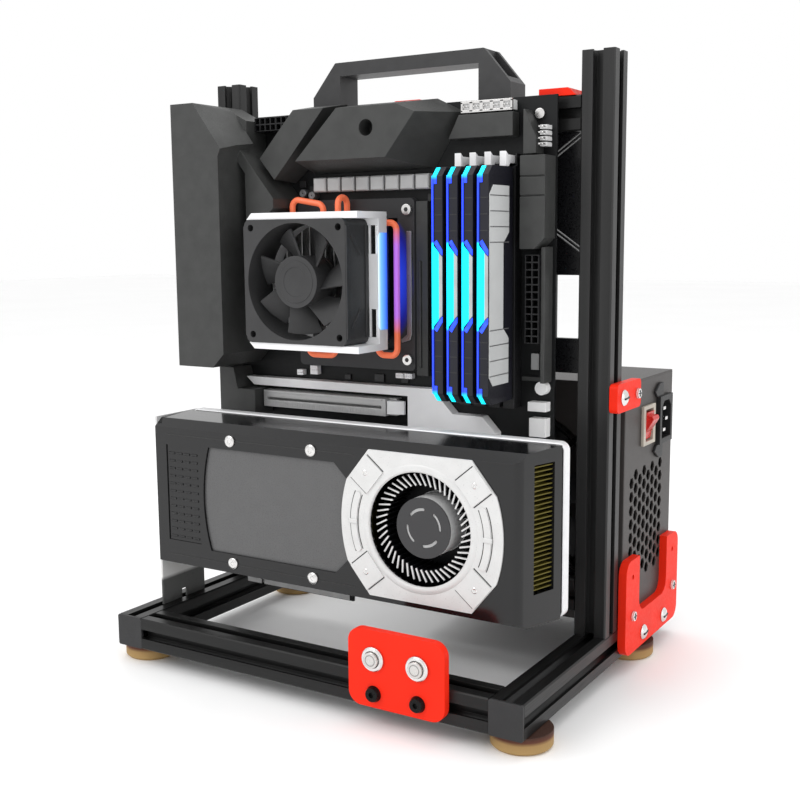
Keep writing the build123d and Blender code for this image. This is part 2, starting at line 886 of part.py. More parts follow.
# power supply in two folded sheets
mesh_y = psu_y0 + mesh_in
mesh_z = psu_z0 + mesh_up
inlet_y = psu_y0 + inlet_in
inlet_z = psu_z1 - inlet_down
switch_y = psu_y0 + switch_in
inlet_body_w = inlet_w - 2 * inlet_body_in
inlet_body_h = inlet_h - 2 * inlet_body_in
switch_body_w = switch_w - switch_wall
switch_body_h = switch_h - switch_wall
with BuildPart() as psu_case:
    case_fold = (
        (psu_x0, psu_y0 + sheet), (psu_x0, psu_y1), (base_w, psu_y1), (base_w, psu_y0 + sheet),
        (base_w - sheet, psu_y0 + sheet), (base_w - sheet, psu_y1 - sheet), (psu_x0 + sheet, psu_y1 - sheet),
        (psu_x0 + sheet, psu_y0 + sheet),
    )
    slab(top_plane(psu_z0 + sheet), case_fold, psu_tall - 2 * sheet)
    with BuildSketch(side_plane(base_w - sheet)):
        with Locations((mesh_y, mesh_z)):
            with HexLocations(mesh_pitch / 2, mesh_cols, mesh_rows):
                RegularPolygon(mesh_across / 2, 6, major_radius=False)
        with Locations((inlet_y, inlet_z)):
            Rectangle(inlet_body_w, inlet_body_h)
        with Locations((switch_y, inlet_z)):
            Rectangle(switch_body_w, switch_body_h)
        with Locations(*psu_holes):
            Circle(screw_hole_r)
    extrude(amount=sheet, mode=Mode.SUBTRACT)
psu_case.part.label = "psu_case"
export_step(psu_case.part, "parts/psu_case.step")

with BuildPart() as psu_cover:
    cover_fold = (
        (psu_y1, psu_z0), (psu_y0, psu_z0), (psu_y0, psu_z1), (psu_y1, psu_z1), (psu_y1, psu_z1 - sheet),
        (psu_y0 + sheet, psu_z1 - sheet), (psu_y0 + sheet, psu_z0 + sheet), (psu_y1, psu_z0 + sheet),
    )
    slab(side_plane(psu_x0), cover_fold, psu_len)
    rod(psu_mid_x, psu_y0, psu_mid_z, fan_big_r, sheet, "y", Mode.SUBTRACT)
psu_cover.part.label = "psu_cover"
export_step(psu_cover.part, "parts/psu_cover.step")

with BuildPart() as psu_fan_grille:
    arm_len = fan_big_r + grille_lap - grille_rs[0]
    with BuildSketch(front_plane(psu_y0)):
        with Locations((psu_mid_x, psu_mid_z)):
            for ring_radius in grille_rs:
                Circle(ring_radius + grille_wire)
                Circle(ring_radius, mode=Mode.SUBTRACT)
            with PolarLocations(grille_rs[0] + arm_len / 2, 4, start_angle=45):
                Rectangle(arm_len, 2 * grille_wire)
    extrude(amount=grille_wire)
psu_fan_grille.part.label = "psu_fan_grille"
export_step(psu_fan_grille.part, "parts/psu_fan_grille.step")

psu_fan_y0 = psu_y0 + sheet
psu_fan_y1 = psu_fan_y0 + fan_big_deep
with BuildPart() as psu_fan_frame:
    with BuildSketch(front_plane(psu_fan_y1)):
        with Locations((psu_mid_x, psu_mid_z)):
            RectangleRounded(fan_big, fan_big, fan_corner)
            Circle(fan_big_r, mode=Mode.SUBTRACT)
    extrude(amount=fan_big_deep)
    with BuildSketch(front_plane(psu_fan_y1)):
        with Locations((psu_mid_x, psu_mid_z)):
            Rectangle(2 * fan_big_r + 1, strut_w)
            Circle(fan_big_hub)
    extrude(amount=strut_t)
    rod(psu_mid_x, psu_fan_y1 - strut_t - axle_len, psu_mid_z, axle_r, axle_len, "y")
psu_fan_frame.part.label = "psu_fan_frame"
export_step(psu_fan_frame.part, "parts/psu_fan_frame.step")


def fan_blade(middle, root_r, tip_r, chord):
    # a blade lofted from a steep root to a flatter tip that lags behind it
    stations = (
        (root_r, blade_root_share * chord, blade_root_pitch, 0.0),
        (tip_r, chord, blade_tip_pitch, blade_sweep),
    )
    sections = []
    for radius, width, pitch, lag in stations:
        out = Vector(cos(radians(lag)), 0, sin(radians(lag)))
        around = Vector(-sin(radians(lag)), 0, cos(radians(lag)))
        along = around * cos(radians(pitch)) + Vector(0, 1, 0) * sin(radians(pitch))
        with BuildSketch(Plane(origin=Vector(*middle) + out * radius, x_dir=along, z_dir=out)) as section:
            Rectangle(width, blade_t)
        sections.append(section.sketch.face())
    return loft(sections, ruled=True)


def fan_rotor(x, y, z, hub_r, tip_r, blade):
    rod(x, y, z, hub_r, rotor_deep, "y")
    for turn in range(fan_blades):
        add(blade.rotate(Axis(at(x, y, z), (0, 1, 0)), turn * 360 / fan_blades))
    rod(x, y, z, tip_r, rotor_deep, "y", Mode.INTERSECT)
    rod(x, y + rotor_deep - axle_len, z, axle_r + axle_fit, axle_len, "y", Mode.SUBTRACT)


psu_rotor_y = psu_fan_y0 + rotor_front
psu_blade_middle = at(psu_mid_x, psu_rotor_y + rotor_deep / 2, psu_mid_z)
psu_blade = fan_blade(psu_blade_middle, fan_big_hub - blade_sink, fan_big_tip + 1, fan_big_chord)
with BuildPart() as psu_fan_rotor:
    fan_rotor(psu_mid_x, psu_rotor_y, psu_mid_z, fan_big_hub, fan_big_tip, psu_blade)
psu_fan_rotor.part.label = "psu_fan_rotor"
export_step(psu_fan_rotor.part, "parts/psu_fan_rotor.step")

with BuildPart() as psu_inlet:
    recess_floor = base_w + inlet_out - recess_deep
    block(base_w, base_w + inlet_out, inlet_y - inlet_w / 2, inlet_y + inlet_w / 2,
          inlet_z - inlet_h / 2, inlet_z + inlet_h / 2)
    block(base_w - inlet_back, base_w, inlet_y - inlet_body_w / 2, inlet_y + inlet_body_w / 2,
          inlet_z - inlet_body_h / 2, inlet_z + inlet_body_h / 2)
    with BuildSketch(side_plane(recess_floor)) as recess:
        with Locations((inlet_y, inlet_z)):
            Rectangle(recess_w, recess_h)
        chamfer(recess.vertices().group_by(Axis.Y)[-1], recess_cut)
    extrude(amount=recess_deep, mode=Mode.SUBTRACT)
    with BuildSketch(side_plane(recess_floor)):
        with Locations(
            (inlet_y - pin_offset, inlet_z - pin_step),
            (inlet_y + pin_offset, inlet_z),
            (inlet_y - pin_offset, inlet_z + pin_step),
        ):
            Rectangle(pin_w, pin_t)
    extrude(amount=pin_len)
psu_inlet.part.label = "psu_inlet"
export_step(psu_inlet.part, "parts/psu_inlet.step")

well_w = switch_body_w - 2 * switch_wall
well_h = switch_body_h - switch_wall
with BuildPart() as psu_switch_frame:
    block(base_w, base_w + switch_out, switch_y - switch_w / 2, switch_y + switch_w / 2,
          inlet_z - switch_h / 2, inlet_z + switch_h / 2)
    block(base_w - switch_back, base_w, switch_y - switch_body_w / 2, switch_y + switch_body_w / 2,
          inlet_z - switch_body_h / 2, inlet_z + switch_body_h / 2)
    well_x0 = base_w - switch_back + switch_wall
    block(well_x0, base_w + switch_out, switch_y - well_w / 2, switch_y + well_w / 2,
          inlet_z - well_h / 2, inlet_z + well_h / 2, Mode.SUBTRACT)
psu_switch_frame.part.label = "psu_switch_frame"
export_step(psu_switch_frame.part, "parts/psu_switch_frame.step")

# the rocker's section lies in a plane leaned to its resting side about its pin
with BuildPart() as psu_rocker:
    lean = radians(rocker_tilt)
    rocker_half = well_h / 2 - rocker_gap
    rocker_w = well_w - 2 * rocker_side_gap
    rocker_plane = Plane(
        origin=at(base_w - rocker_in, switch_y + rocker_w / 2, inlet_z),
        x_dir=(cos(lean), 0, -sin(lean)),
        z_dir=(0, -1, 0),
    )
    rocker_section = (
        (rocker_rise, -rocker_half), (rocker_rise + rocker_crown, 0.0), (rocker_rise, rocker_half),
        (-rocker_deep, rocker_half - rocker_nose), (-rocker_deep, rocker_nose - rocker_half),
    )
    slab(rocker_plane, rocker_section, rocker_w)
psu_rocker.part.label = "psu_rocker"
export_step(psu_rocker.part, "parts/psu_rocker.step")

# board and what sits on it
with BuildPart() as mainboard:
    with BuildSketch(front_plane(board_back)):
        with Locations((board_x0 + board_w / 2, board_z0 + board_h / 2)):
            Rectangle(board_w, board_h)
        with Locations(*board_holes):
            Circle(screw_hole_r, mode=Mode.SUBTRACT)
    extrude(amount=board_t)
mainboard.part.label = "mainboard"
export_step(mainboard.part, "parts/mainboard.step")


def screw_rooms():
    for hole_x, hole_z in board_holes:
        rod(hole_x, board_y - 2 * screw_head_h, hole_z, screw_head_r + screw_room, 2 * screw_head_h, "y",
            Mode.SUBTRACT)


def board_spot(across, out, down):
    return Vector(*at(board_x0 + across, board_y - out, board_top - down))


facet_start = board_spot(*facet_top)
facet_normal = (board_spot(*facet_low) - facet_start).cross(board_spot(*facet_back) - facet_start)
with BuildPart() as io_shroud:
    slab(front_plane(board_y - port_link_out), from_left(port_cover_front), port_cover_out - port_link_out)
    split(bisect_by=Plane(origin=facet_start, z_dir=facet_normal), keep=Keep.BOTTOM)
    slab(front_plane(board_y), from_left(port_cover_rear), port_link_out)
    slab(front_plane(board_y), from_left(port_link), port_link_out)
    slab(front_plane(board_y), from_left(port_step), port_step_out)
    block(board_x0 + port_cover_left - 1, board_x0 + port_cover_right - port_cover_wall,
          board_y - port_cover_out + port_cover_wall, board_y,
          board_top - port_hollow_low, board_top - port_hollow_top, Mode.SUBTRACT)
    screw_rooms()
io_shroud.part.label = "io_shroud"
export_step(io_shroud.part, "parts/io_shroud.step")

with BuildPart() as io_ports:
    port_x0 = board_x0 + port_left
    port_y0 = board_y - port_out
    for port_top in port_tops:
        port_z1 = board_top - port_top
        port_z0 = port_z1 - port_tall
        block(port_x0, board_x0 + port_right, port_y0, board_y, port_z0, port_z1)
        block(port_x0, port_x0 + port_depth, port_y0 + port_edge, board_y - port_edge, port_z0 + port_rim,
              port_z1 - port_rim, Mode.SUBTRACT)
io_ports.part.label = "io_ports"
export_step(io_ports.part, "parts/io_ports.step")

with BuildPart() as vrm_cover:
    taper(from_left(vrm_front), from_left(vrm_back), board_y - vrm_out, board_y)
    taper(from_left(wing_front), from_left(wing_back), board_y - wing_out, board_y)
    rod(board_x0 + vrm_hole_x, board_y - vrm_out, board_top - vrm_hole_down, vrm_hole_r, vrm_hole_deep, "y",
        Mode.SUBTRACT)
    screw_rooms()
vrm_cover.part.label = "vrm_cover"
export_step(vrm_cover.part, "parts/vrm_cover.step")

with BuildPart() as chokes:
    row_x = board_x0 + choke_left + (choke_count - 1) * choke_pitch / 2
    with BuildSketch(front_plane(board_y)):
        with Locations((row_x, board_top - choke_down + choke_h / 2)):
            with GridLocations(choke_pitch, 0, choke_count, 1):
                Rectangle(choke_w, choke_h)
    extrude(amount=choke_out)
    chamfer(chokes.edges().group_by(Axis.Y)[0], choke_bevel)
chokes.part.label = "chokes"
export_step(chokes.part, "parts/chokes.step")

with BuildPart() as cpu_bracket:
    with BuildSketch(front_plane(board_y)):
        with Locations((bracket_x1 - bracket_w / 2, bracket_z1 - bracket_h / 2)):
            RectangleRounded(bracket_w, bracket_h, bracket_r)
            Rectangle(bracket_w - 2 * bracket_bar, bracket_h - 2 * bracket_bar, mode=Mode.SUBTRACT)
        with Locations((bracket_screw_x, bracket_screw_zs[0]), (bracket_screw_x, bracket_screw_zs[1])):
            Circle(screw_hole_r, mode=Mode.SUBTRACT)
    extrude(amount=bracket_t)
cpu_bracket.part.label = "cpu_bracket"
export_step(cpu_bracket.part, "parts/cpu_bracket.step")

with BuildPart() as board_covers:
    slab(front_plane(board_y), from_right(side_cover), side_cover_out)
    slab(front_plane(board_y), from_right(corner_cover), corner_cover_out)
    slab(front_plane(board_y), from_right(top_cover), top_cover_out)
    slab(front_plane(board_y), from_left(lower_cover), lower_cover_out)
    for groove_down in side_cover_grooves:
        groove_y = board_y - side_cover_out
        groove_z = board_top - groove_down
        block(board_x1 - side_cover[0][0], board_x1, groove_y, groove_y + groove_w,
              groove_z - groove_w / 2, groove_z + groove_w / 2, Mode.SUBTRACT)
board_covers.part.label = "board_covers"
export_step(board_covers.part, "parts/board_covers.step")


def power_socket(x, z, cols, rows, out):
    wide = cols * cell_pitch + socket_rim
    tall = rows * cell_pitch + socket_rim
    block(x - wide / 2, x + wide / 2, board_y - out, board_y, z - tall / 2, z + tall / 2)
    with BuildSketch(front_plane(board_y - out)) as cells:
        with Locations((x, z)):
            with GridLocations(cell_pitch, cell_pitch, cols, rows):
                Rectangle(socket_cell, socket_cell)
    extrude(cells.sketch, amount=-socket_deep, mode=Mode.SUBTRACT)


with BuildPart() as power_sockets:
    power_socket(board_x1 - main_socket_in, board_top - main_socket_down, 2, 12, main_socket_out)
    power_socket(board_x0 + small_socket_xs[0], board_top - small_socket_down, 4, 2, small_socket_out)
    power_socket(board_x0 + small_socket_xs[1], board_top - small_socket_down, 2, 2, small_socket_out)
power_sockets.part.label = "power_sockets"
export_step(power_sockets.part, "parts/power_sockets.step")

with BuildPart() as board_headers:
    header_y = board_y - header_out
    for header in range(top_header_count):
        header_x = board_x1 - top_header_in + header * top_header_pitch
        header_z = board_top - top_header_down
        block(header_x, header_x + top_header_w, header_y, board_y, header_z - top_header_h, header_z)
    for header in range(pin_header_count):
        header_x = board_x1 - pin_header_in
        header_z = board_top - pin_header_down - header * pin_header_pitch
        block(header_x - pin_header_w, header_x, header_y, board_y, header_z - pin_header_h, header_z)
    for inward_far, inward_near, down_low, down_high in edge_headers:
        block(board_x1 - inward_far, board_x1 - inward_near, header_y, board_y, board_top - down_low,
              board_top - down_high)
    rod(board_x1 - coin_in, board_y - coin_out, board_top - coin_down, coin_r, coin_out, "y")
board_headers.part.label = "board_headers"
export_step(board_headers.part, "parts/board_headers.step")

with BuildPart() as white_cover:
    slab(front_plane(board_y), from_left(white_cover_outline), white_cover_out)
white_cover.part.label = "white_cover"
export_step(white_cover.part, "parts/white_cover.step")

pcie_x0 = board_x0 + pcie_left
pcie_x1 = pcie_x0 + pcie_w
pcie_z1 = board_top - pcie_down
pcie_z0 = pcie_z1 - pcie_h
with BuildPart() as pcie_slot:
    block(pcie_x0, pcie_x1, board_y - pcie_out, board_y, pcie_z0, pcie_z1)
    groove_z0 = (pcie_z0 + pcie_z1 - pcie_groove) / 2
    block(pcie_x0 + pcie_end, pcie_x1 - pcie_end, board_y - pcie_out, board_y - pcie_out + pcie_groove_deep,
          groove_z0, groove_z0 + pcie_groove, Mode.SUBTRACT)
    for ear_z in (pcie_z0, pcie_z1 - pcie_ear_t):
        block(pcie_x1, pcie_x1 + pcie_ear_len, board_y - pcie_ear_out, board_y, ear_z, ear_z + pcie_ear_t)
pcie_slot.part.label = "pcie_slot"
export_step(pcie_slot.part, "parts/pcie_slot.step")

with BuildPart() as pcie_latch:
    latch_lift = pcie_ear_t + pcie_latch_gap
    latch_x = pcie_x1 + pcie_latch_side
    latch_points = [(latch_x + across, board_y - out) for across, out in pcie_latch_outline]
    slab(top_plane(pcie_z0 + latch_lift), latch_points, pcie_h - 2 * latch_lift)
pcie_latch.part.label = "pcie_latch"
export_step(pcie_latch.part, "parts/pcie_latch.step")

memory_xs = [board_x1 - memory_in + step * memory_pitch for step in range(memory_count)]
memory_z1 = board_top - memory_down
memory_z0 = memory_z1 - memory_len
memory_front = board_y - memory_out
spreader_back = board_y - spreader_out
seat_y = board_y - module_seat
slot_y0 = board_y - slot_out
slot_z1 = memory_z1 + slot_high
with BuildPart() as memory_slots:
    for slot_x in memory_xs:
        block(slot_x - slot_w / 2, slot_x + slot_w / 2, slot_y0, board_y, memory_z0 - slot_low, slot_z1)
        block(slot_x - groove_t / 2, slot_x + groove_t / 2, slot_y0, seat_y, memory_z0 - seat_gap, slot_z1,
              Mode.SUBTRACT)
        for cheek_x in (slot_x - slot_w / 2, slot_x + slot_w / 2 - cheek_t):
            block(cheek_x, cheek_x + cheek_t, board_y - cheek_out, board_y, slot_z1, slot_z1 + cheek_h)
memory_slots.part.label = "memory_slots"
export_step(memory_slots.part, "parts/memory_slots.step")

latch_y0 = board_y - latch_out
latch_y1 = board_y - latch_root
latch_z0 = slot_z1 + latch_gap
latch_z1 = latch_z0 + latch_t
latch_section = (
    (latch_y0, latch_z0 - latch_drop), (latch_y0 + latch_nose, latch_z0 - latch_drop),
    (latch_y0 + latch_nose + latch_ramp, latch_z0), (latch_y1, latch_z0), (latch_y1, latch_z1),
    (latch_y0 + latch_lip, latch_z1), (latch_y0, latch_z1 + latch_rise),
)
for number, slot_x in enumerate(memory_xs, start=1):
    with BuildPart() as memory_latch:
        slab(side_plane(slot_x - latch_w / 2), latch_section, latch_w)
    memory_latch.part.label = "memory_latch_" + str(number)
    export_step(memory_latch.part, "parts/memory_latch_" + str(number) + ".step")

bevel_y = memory_front + memory_bevel
spreader_section = (
    (spreader_back, memory_z0), (bevel_y, memory_z0), (memory_front, memory_z0 + memory_bevel),
    (memory_front, memory_z1 - memory_bevel), (bevel_y, memory_z1), (spreader_back, memory_z1),
)
with BuildPart() as memory_modules:
    for slot_x in memory_xs:
        slab(side_plane(slot_x - spreader_t / 2), spreader_section, spreader_t)
        block(slot_x - module_t / 2, slot_x + module_t / 2, spreader_back, seat_y, memory_z0, memory_z1)
memory_modules.part.label = "memory_modules"
export_step(memory_modules.part, "parts/memory_modules.step")

with BuildPart() as memory_light_bars:
    light_z = (memory_z0 + memory_z1) / 2
    line_len = memory_len - 2 * memory_bevel
    for slot_x in memory_xs:
        light_x = slot_x - spreader_t / 2
        with BuildSketch(front_plane(memory_front)):
            with Locations((light_x + light_line / 2, light_z)):
                Rectangle(light_line, line_len)
            Polygon(
                (light_x, light_z - light_half), (light_x + light_w, light_z - light_half + light_slant),
                (light_x + light_w, light_z + light_half - light_slant), (light_x, light_z + light_half),
                align=None,
            )
        extrude(amount=light_out)
memory_light_bars.part.label = "memory_light_bars"
export_step(memory_light_bars.part, "parts/memory_light_bars.step")

# cooler with its fan in front
cool_x = board_x0 + cool_in
cool_z = board_top - cool_down
fan_half = fan_small / 2
fan_y0 = board_y - fan_small_out
fan_y1 = fan_y0 + fan_small_deep
housing_y1 = fan_y1 + housing_back_t
housing_x0 = cool_x - fan_half
housing_x1 = cool_x + fan_half + housing_side
housing_z0 = cool_z - fan_half - housing_rim
housing_z1 = cool_z + fan_half + housing_rim
housing_outline = (
    (housing_x0, housing_z0 + housing_cut), (housing_x0 + housing_cut, housing_z0), (housing_x1, housing_z0),
    (housing_x1, housing_z1), (housing_x0 + housing_cut, housing_z1), (housing_x0, housing_z1 - housing_cut),
)
with BuildPart() as cooler_housing:
    slab(front_plane(housing_y1), housing_outline, housing_back_t + housing_lap)
    block(housing_x0 - 1, housing_x1 + 1, fan_y0, fan_y1, cool_z - fan_half, cool_z + fan_half,
          Mode.SUBTRACT)
    rod(cool_x, fan_y1, cool_z, fan_small_r, housing_back_t, "y", Mode.SUBTRACT)
    vent_x1 = housing_x1 - vent_in
    for vent_z1 in (housing_z1 - vent_down, housing_z0 + vent_down + vent_h):
        block(vent_x1 - vent_w, vent_x1, fan_y1, housing_y1, vent_z1 - vent_h, vent_z1, Mode.SUBTRACT)
cooler_housing.part.label = "cooler_housing"
export_step(cooler_housing.part, "parts/cooler_housing.step")

with BuildPart() as cooler_heatsink:
    block(cool_x - sink_half_x, cool_x + sink_half_x, bracket_y - sink_base, bracket_y,
          cool_z - sink_half_z, cool_z + sink_half_z)
    fin_pitch = (2 * sink_half_x - fin_t) / (sink_fins - 1)
    with BuildSketch(front_plane(bracket_y - sink_base)):
        with Locations((cool_x, cool_z)):
            with GridLocations(fin_pitch, 0, sink_fins, 1):
                Rectangle(fin_t, 2 * sink_half_z)
    extrude(amount=bracket_y - sink_base - housing_y1)
    block(cool_x - processor_half, cool_x + processor_half, bracket_y, board_y,
          cool_z - processor_half, cool_z + processor_half)
cooler_heatsink.part.label = "cooler_heatsink"
export_step(cooler_heatsink.part, "parts/cooler_heatsink.step")

with BuildPart() as cooler_fan_frame:
    hole_step = fan_small - 2 * fan_hole_in
    with BuildSketch(front_plane(fan_y1)):
        with Locations((cool_x, cool_z)):
            RectangleRounded(fan_small, fan_small, fan_corner)
            Circle(fan_small_r, mode=Mode.SUBTRACT)
            with GridLocations(hole_step, hole_step, 2, 2):
                Circle(fan_hole_r, mode=Mode.SUBTRACT)
    extrude(amount=fan_small_deep)
    with BuildSketch(front_plane(fan_y1)):
        with Locations((cool_x, cool_z)):
            Rectangle(2 * fan_small_r + 1, spider_w)
            Rectangle(spider_w, 2 * fan_small_r + 1)
            Circle(fan_small_hub)
    extrude(amount=strut_t)
    rod(cool_x, fan_y1 - strut_t - axle_len, cool_z, axle_r, axle_len, "y")
cooler_fan_frame.part.label = "cooler_fan_frame"
export_step(cooler_fan_frame.part, "parts/cooler_fan_frame.step")

rotor_y = fan_y0 + fan_small_front
blade_middle = at(cool_x, rotor_y + rotor_deep / 2, cool_z)
cooler_blade = fan_blade(blade_middle, fan_small_hub - blade_sink, fan_small_tip + 1, fan_small_chord)
with BuildPart() as cooler_fan_rotor:
    fan_rotor(cool_x, rotor_y, cool_z, fan_small_hub, fan_small_tip, cooler_blade)
cooler_fan_rotor.part.label = "cooler_fan_rotor"
export_step(cooler_fan_rotor.part, "parts/cooler_fan_rotor.step")


def pipe(points):
    with BuildLine() as path:
        FilletPolyline(*[at(*point) for point in points], radius=pipe_bend)
    with BuildSketch(Plane(origin=path.line @ 0, z_dir=path.line % 0)) as ring:
        RegularPolygon(pipe_r, pipe_sides)
    sweep(ring.sketch, path=path.line)


# pipes leave the fins at the right side, the top and the bottom
pipe_y = board_y - pipe_out
pipe_x = housing_x1 + pipe_r + pipe_gap
sink_z0 = cool_z - sink_half_z
side_pipe_z0 = sink_z0 - side_pipe_drop
side_pipe_z1 = cool_z + sink_half_z - side_pipe_in
with BuildPart() as cooler_pipes:
    pipe((
        (cool_x + sink_half_x, pipe_y, side_pipe_z1),
        (pipe_x, pipe_y, side_pipe_z1),
        (pipe_x, pipe_y, side_pipe_z0),
        (pipe_x - side_pipe_back, pipe_y, side_pipe_z0),
        (pipe_x - side_pipe_back, pipe_y, sink_z0),
    ))
    for start, end, leave in pipe_loops:
        leave_z = cool_z + leave
        pipe((
            (cool_x + start[0], pipe_y + start[1], leave_z),
            (cool_x + start[0], pipe_y + start[1], leave_z + start[2]),
            (cool_x + end[0], pipe_y + end[1], leave_z + end[2]),
            (cool_x + end[0], pipe_y + end[1], leave_z),
        ))
cooler_pipes.part.label = "cooler_pipes"
export_step(cooler_pipes.part, "parts/cooler_pipes.step")

# graphics card
card_x1 = card_x0 + card_len
card_z0 = rail_top + card_low
card_z1 = rail_top + card_high
face_x1 = card_x0 + card_face_len
face_z0 = rail_top + card_face_low
face_z1 = rail_top + card_face_high
inside_y = card_face_y + card_face_t
inside_x1 = face_x1 - card_wall
blower_x = card_x0 + blower_in
blower_z = rail_top + blower_up
pane_left = card_x0 + pane_x0
pane_right = card_x0 + pane_x1
bow_x = pane_left + pane_bow
pane_z = rail_top + pane_mid
pane_low = pane_z - pane_half
pane_high = pane_z + pane_half
end_y0 = card_face_y + end_open_y0
end_y1 = card_face_y + end_open_y1
end_z0 = rail_top + end_open_low
end_z1 = rail_top + end_open_high
with BuildPart() as card_shroud:
    card_bevel_y = board_y - card_bevel_out
    shroud_section = (
        (card_face_y, face_z0), (card_face_y, face_z1), (card_bevel_y, card_z1 - card_shoulder),
        (card_board_y, card_z1), (card_board_y, card_z0), (card_bevel_y, card_z0 + card_shoulder),
    )
    slab(side_plane(card_x0), shroud_section, card_len)
    end_slope = (
        (face_x1, card_face_y - 1), (card_x1 + 1, card_face_y - 1), (card_x1 + 1, card_board_y),
        (card_x1, card_board_y), (face_x1, card_face_y),
    )
    slab(top_plane(card_z0 - 1), end_slope, card_z1 - card_z0 + 2, Mode.SUBTRACT)
    corner = card_shroud.edges().filter_by(Axis.Z).sort_by_distance(at(face_x1, card_face_y, blower_z))[0]
    fillet(corner, card_end_r)
    block(card_x0 + card_wall, inside_x1, inside_y, card_board_y, face_z0 + card_wall, face_z1 - card_wall,
          Mode.SUBTRACT)
    with BuildSketch(front_plane(inside_y)):
        with BuildLine():
            ThreePointArc((bow_x, pane_low), (pane_left, pane_z), (bow_x, pane_high))
            Polyline(
                (bow_x, pane_high), (pane_right - pane_cut, pane_high), (pane_right, pane_high - pane_cut),
                (pane_right, pane_low + pane_cut), (pane_right - pane_cut, pane_low), (bow_x, pane_low),
            )
        make_face()
    extrude(amount=card_face_t, mode=Mode.SUBTRACT)
    rod(blower_x, card_face_y, blower_z, blower_open_r, card_face_t, "y", Mode.SUBTRACT)
    block(inside_x1 - 1, card_x1, end_y0, end_y1, end_z0, end_z1, Mode.SUBTRACT)
    block(card_x0 + recess_x0, card_x0 + recess_x1, card_face_y, card_face_y + recess_in,
          rail_top + recess_low, rail_top + recess_high, Mode.SUBTRACT)
    for screw_x, screw_up in card_screws:
        rod(card_x0 + screw_x, card_face_y, rail_top + screw_up, screw_hole_r, card_face_t, "y",
            Mode.SUBTRACT)
card_shroud.part.label = "card_shroud"
export_step(card_shroud.part, "parts/card_shroud.step")

with BuildPart() as card_window:
    block(pane_left - pane_lap, pane_right + pane_lap, inside_y, inside_y + pane_t, pane_low - pane_lap,
          pane_high + pane_lap)
card_window.part.label = "card_window"
export_step(card_window.part, "parts/card_window.step")

# eight-sided plate with round flanks, four raised corner pads and two raised ribs
rib_arcs = [CenterArc((0, 0), ring_rib_r, middle - ring_rib_half, 2 * ring_rib_half) for middle in (0, 180)]
with BuildPart() as card_ring:
    ring_plane = Plane(origin=at(blower_x, card_face_y, blower_z), x_dir=(1, 0, 0), z_dir=(0, -1, 0))
    with BuildSketch(ring_plane):
        with BuildLine():
            for side in (-1, 1):
                Line((-ring_flat, side * ring_half), (ring_flat, side * ring_half))
                flank_top = (side * ring_flank_x, ring_flank_z)
                flank_low = (side * ring_flank_x, -ring_flank_z)
                Line((side * ring_flat, ring_half), flank_top)
                Line((side * ring_flat, -ring_half), flank_low)
                ThreePointArc(flank_top, (side * ring_r, 0), flank_low)
        make_face()
        Circle(blower_open_r, mode=Mode.SUBTRACT)
    extrude(amount=ring_t)
    with BuildSketch(ring_plane.offset(ring_t)):
        for pad_angle in (ring_pad_angle, -ring_pad_angle):
            with PolarLocations(ring_pad_r, 2, start_angle=pad_angle):
                Rectangle(ring_pad_long, ring_pad_wide)
        for rib_arc in rib_arcs:
            SlotArc(rib_arc, ring_rib_w)
    extrude(amount=ring_pad_t)
card_ring.part.label = "card_ring"
export_step(card_ring.part, "parts/card_ring.step")

wheel_y0 = card_face_y + wheel_in
wheel_y1 = wheel_y0 + wheel_deep
hub_arcs = [CenterArc((0, 0), hub_slot_r, quarter, hub_slot_sweep) for quarter in (0, 90, 180, 270)]
with BuildPart() as card_blower:
    wheel_plane = Plane(origin=at(blower_x, wheel_y1, blower_z), x_dir=(1, 0, 0), z_dir=(0, -1, 0))
    with BuildSketch(wheel_plane):
        Circle(wheel_r)
    extrude(amount=wheel_disc)
    with BuildSketch(wheel_plane):
        Circle(wheel_hub_r)
        with PolarLocations(wheel_blade_r, wheel_blades):
            Rectangle(wheel_blade_len, wheel_blade_t, rotation=wheel_lean)
    extrude(amount=wheel_deep)
    with BuildSketch(wheel_plane.offset(wheel_deep)):
        for hub_arc in hub_arcs:
            SlotArc(hub_arc, hub_slot_w)
    extrude(amount=-hub_slot_deep, mode=Mode.SUBTRACT)
    rod(blower_x, wheel_y1 - axle_len, blower_z, axle_r + axle_fit, axle_len, "y", Mode.SUBTRACT)
card_blower.part.label = "card_blower"
export_step(card_blower.part, "parts/card_blower.step")

with BuildPart() as card_heatsink:
    sink_low = pane_low - pane_lap
    sink_high = pane_high + pane_lap
    sink_back = card_board_y - card_sink_base
    block(card_x0 + card_sink_x0, card_x0 + card_sink_x1, sink_back, card_board_y, sink_low, sink_high)
    fin_step = (sink_high - sink_low - fin_t) / (card_sink_fins - 1)
    for fin in range(card_sink_fins):
        fin_z = sink_low + fin * fin_step
        block(card_x0 + card_sink_x0, card_x0 + card_sink_x1, card_board_y - card_sink_out, sink_back,
              fin_z, fin_z + fin_t)
    end_step = (end_z1 - end_z0) / end_fins
    for fin in range(end_fins):
        fin_z = end_z0 + (fin + 0.5) * end_step
        block(inside_x1 + end_fin_in, inside_x1 + end_fin_in + end_fin_w, end_y0, end_y1,
              fin_z - fin_t / 2, fin_z + fin_t / 2)
card_heatsink.part.label = "card_heatsink"
export_step(card_heatsink.part, "parts/card_heatsink.step")

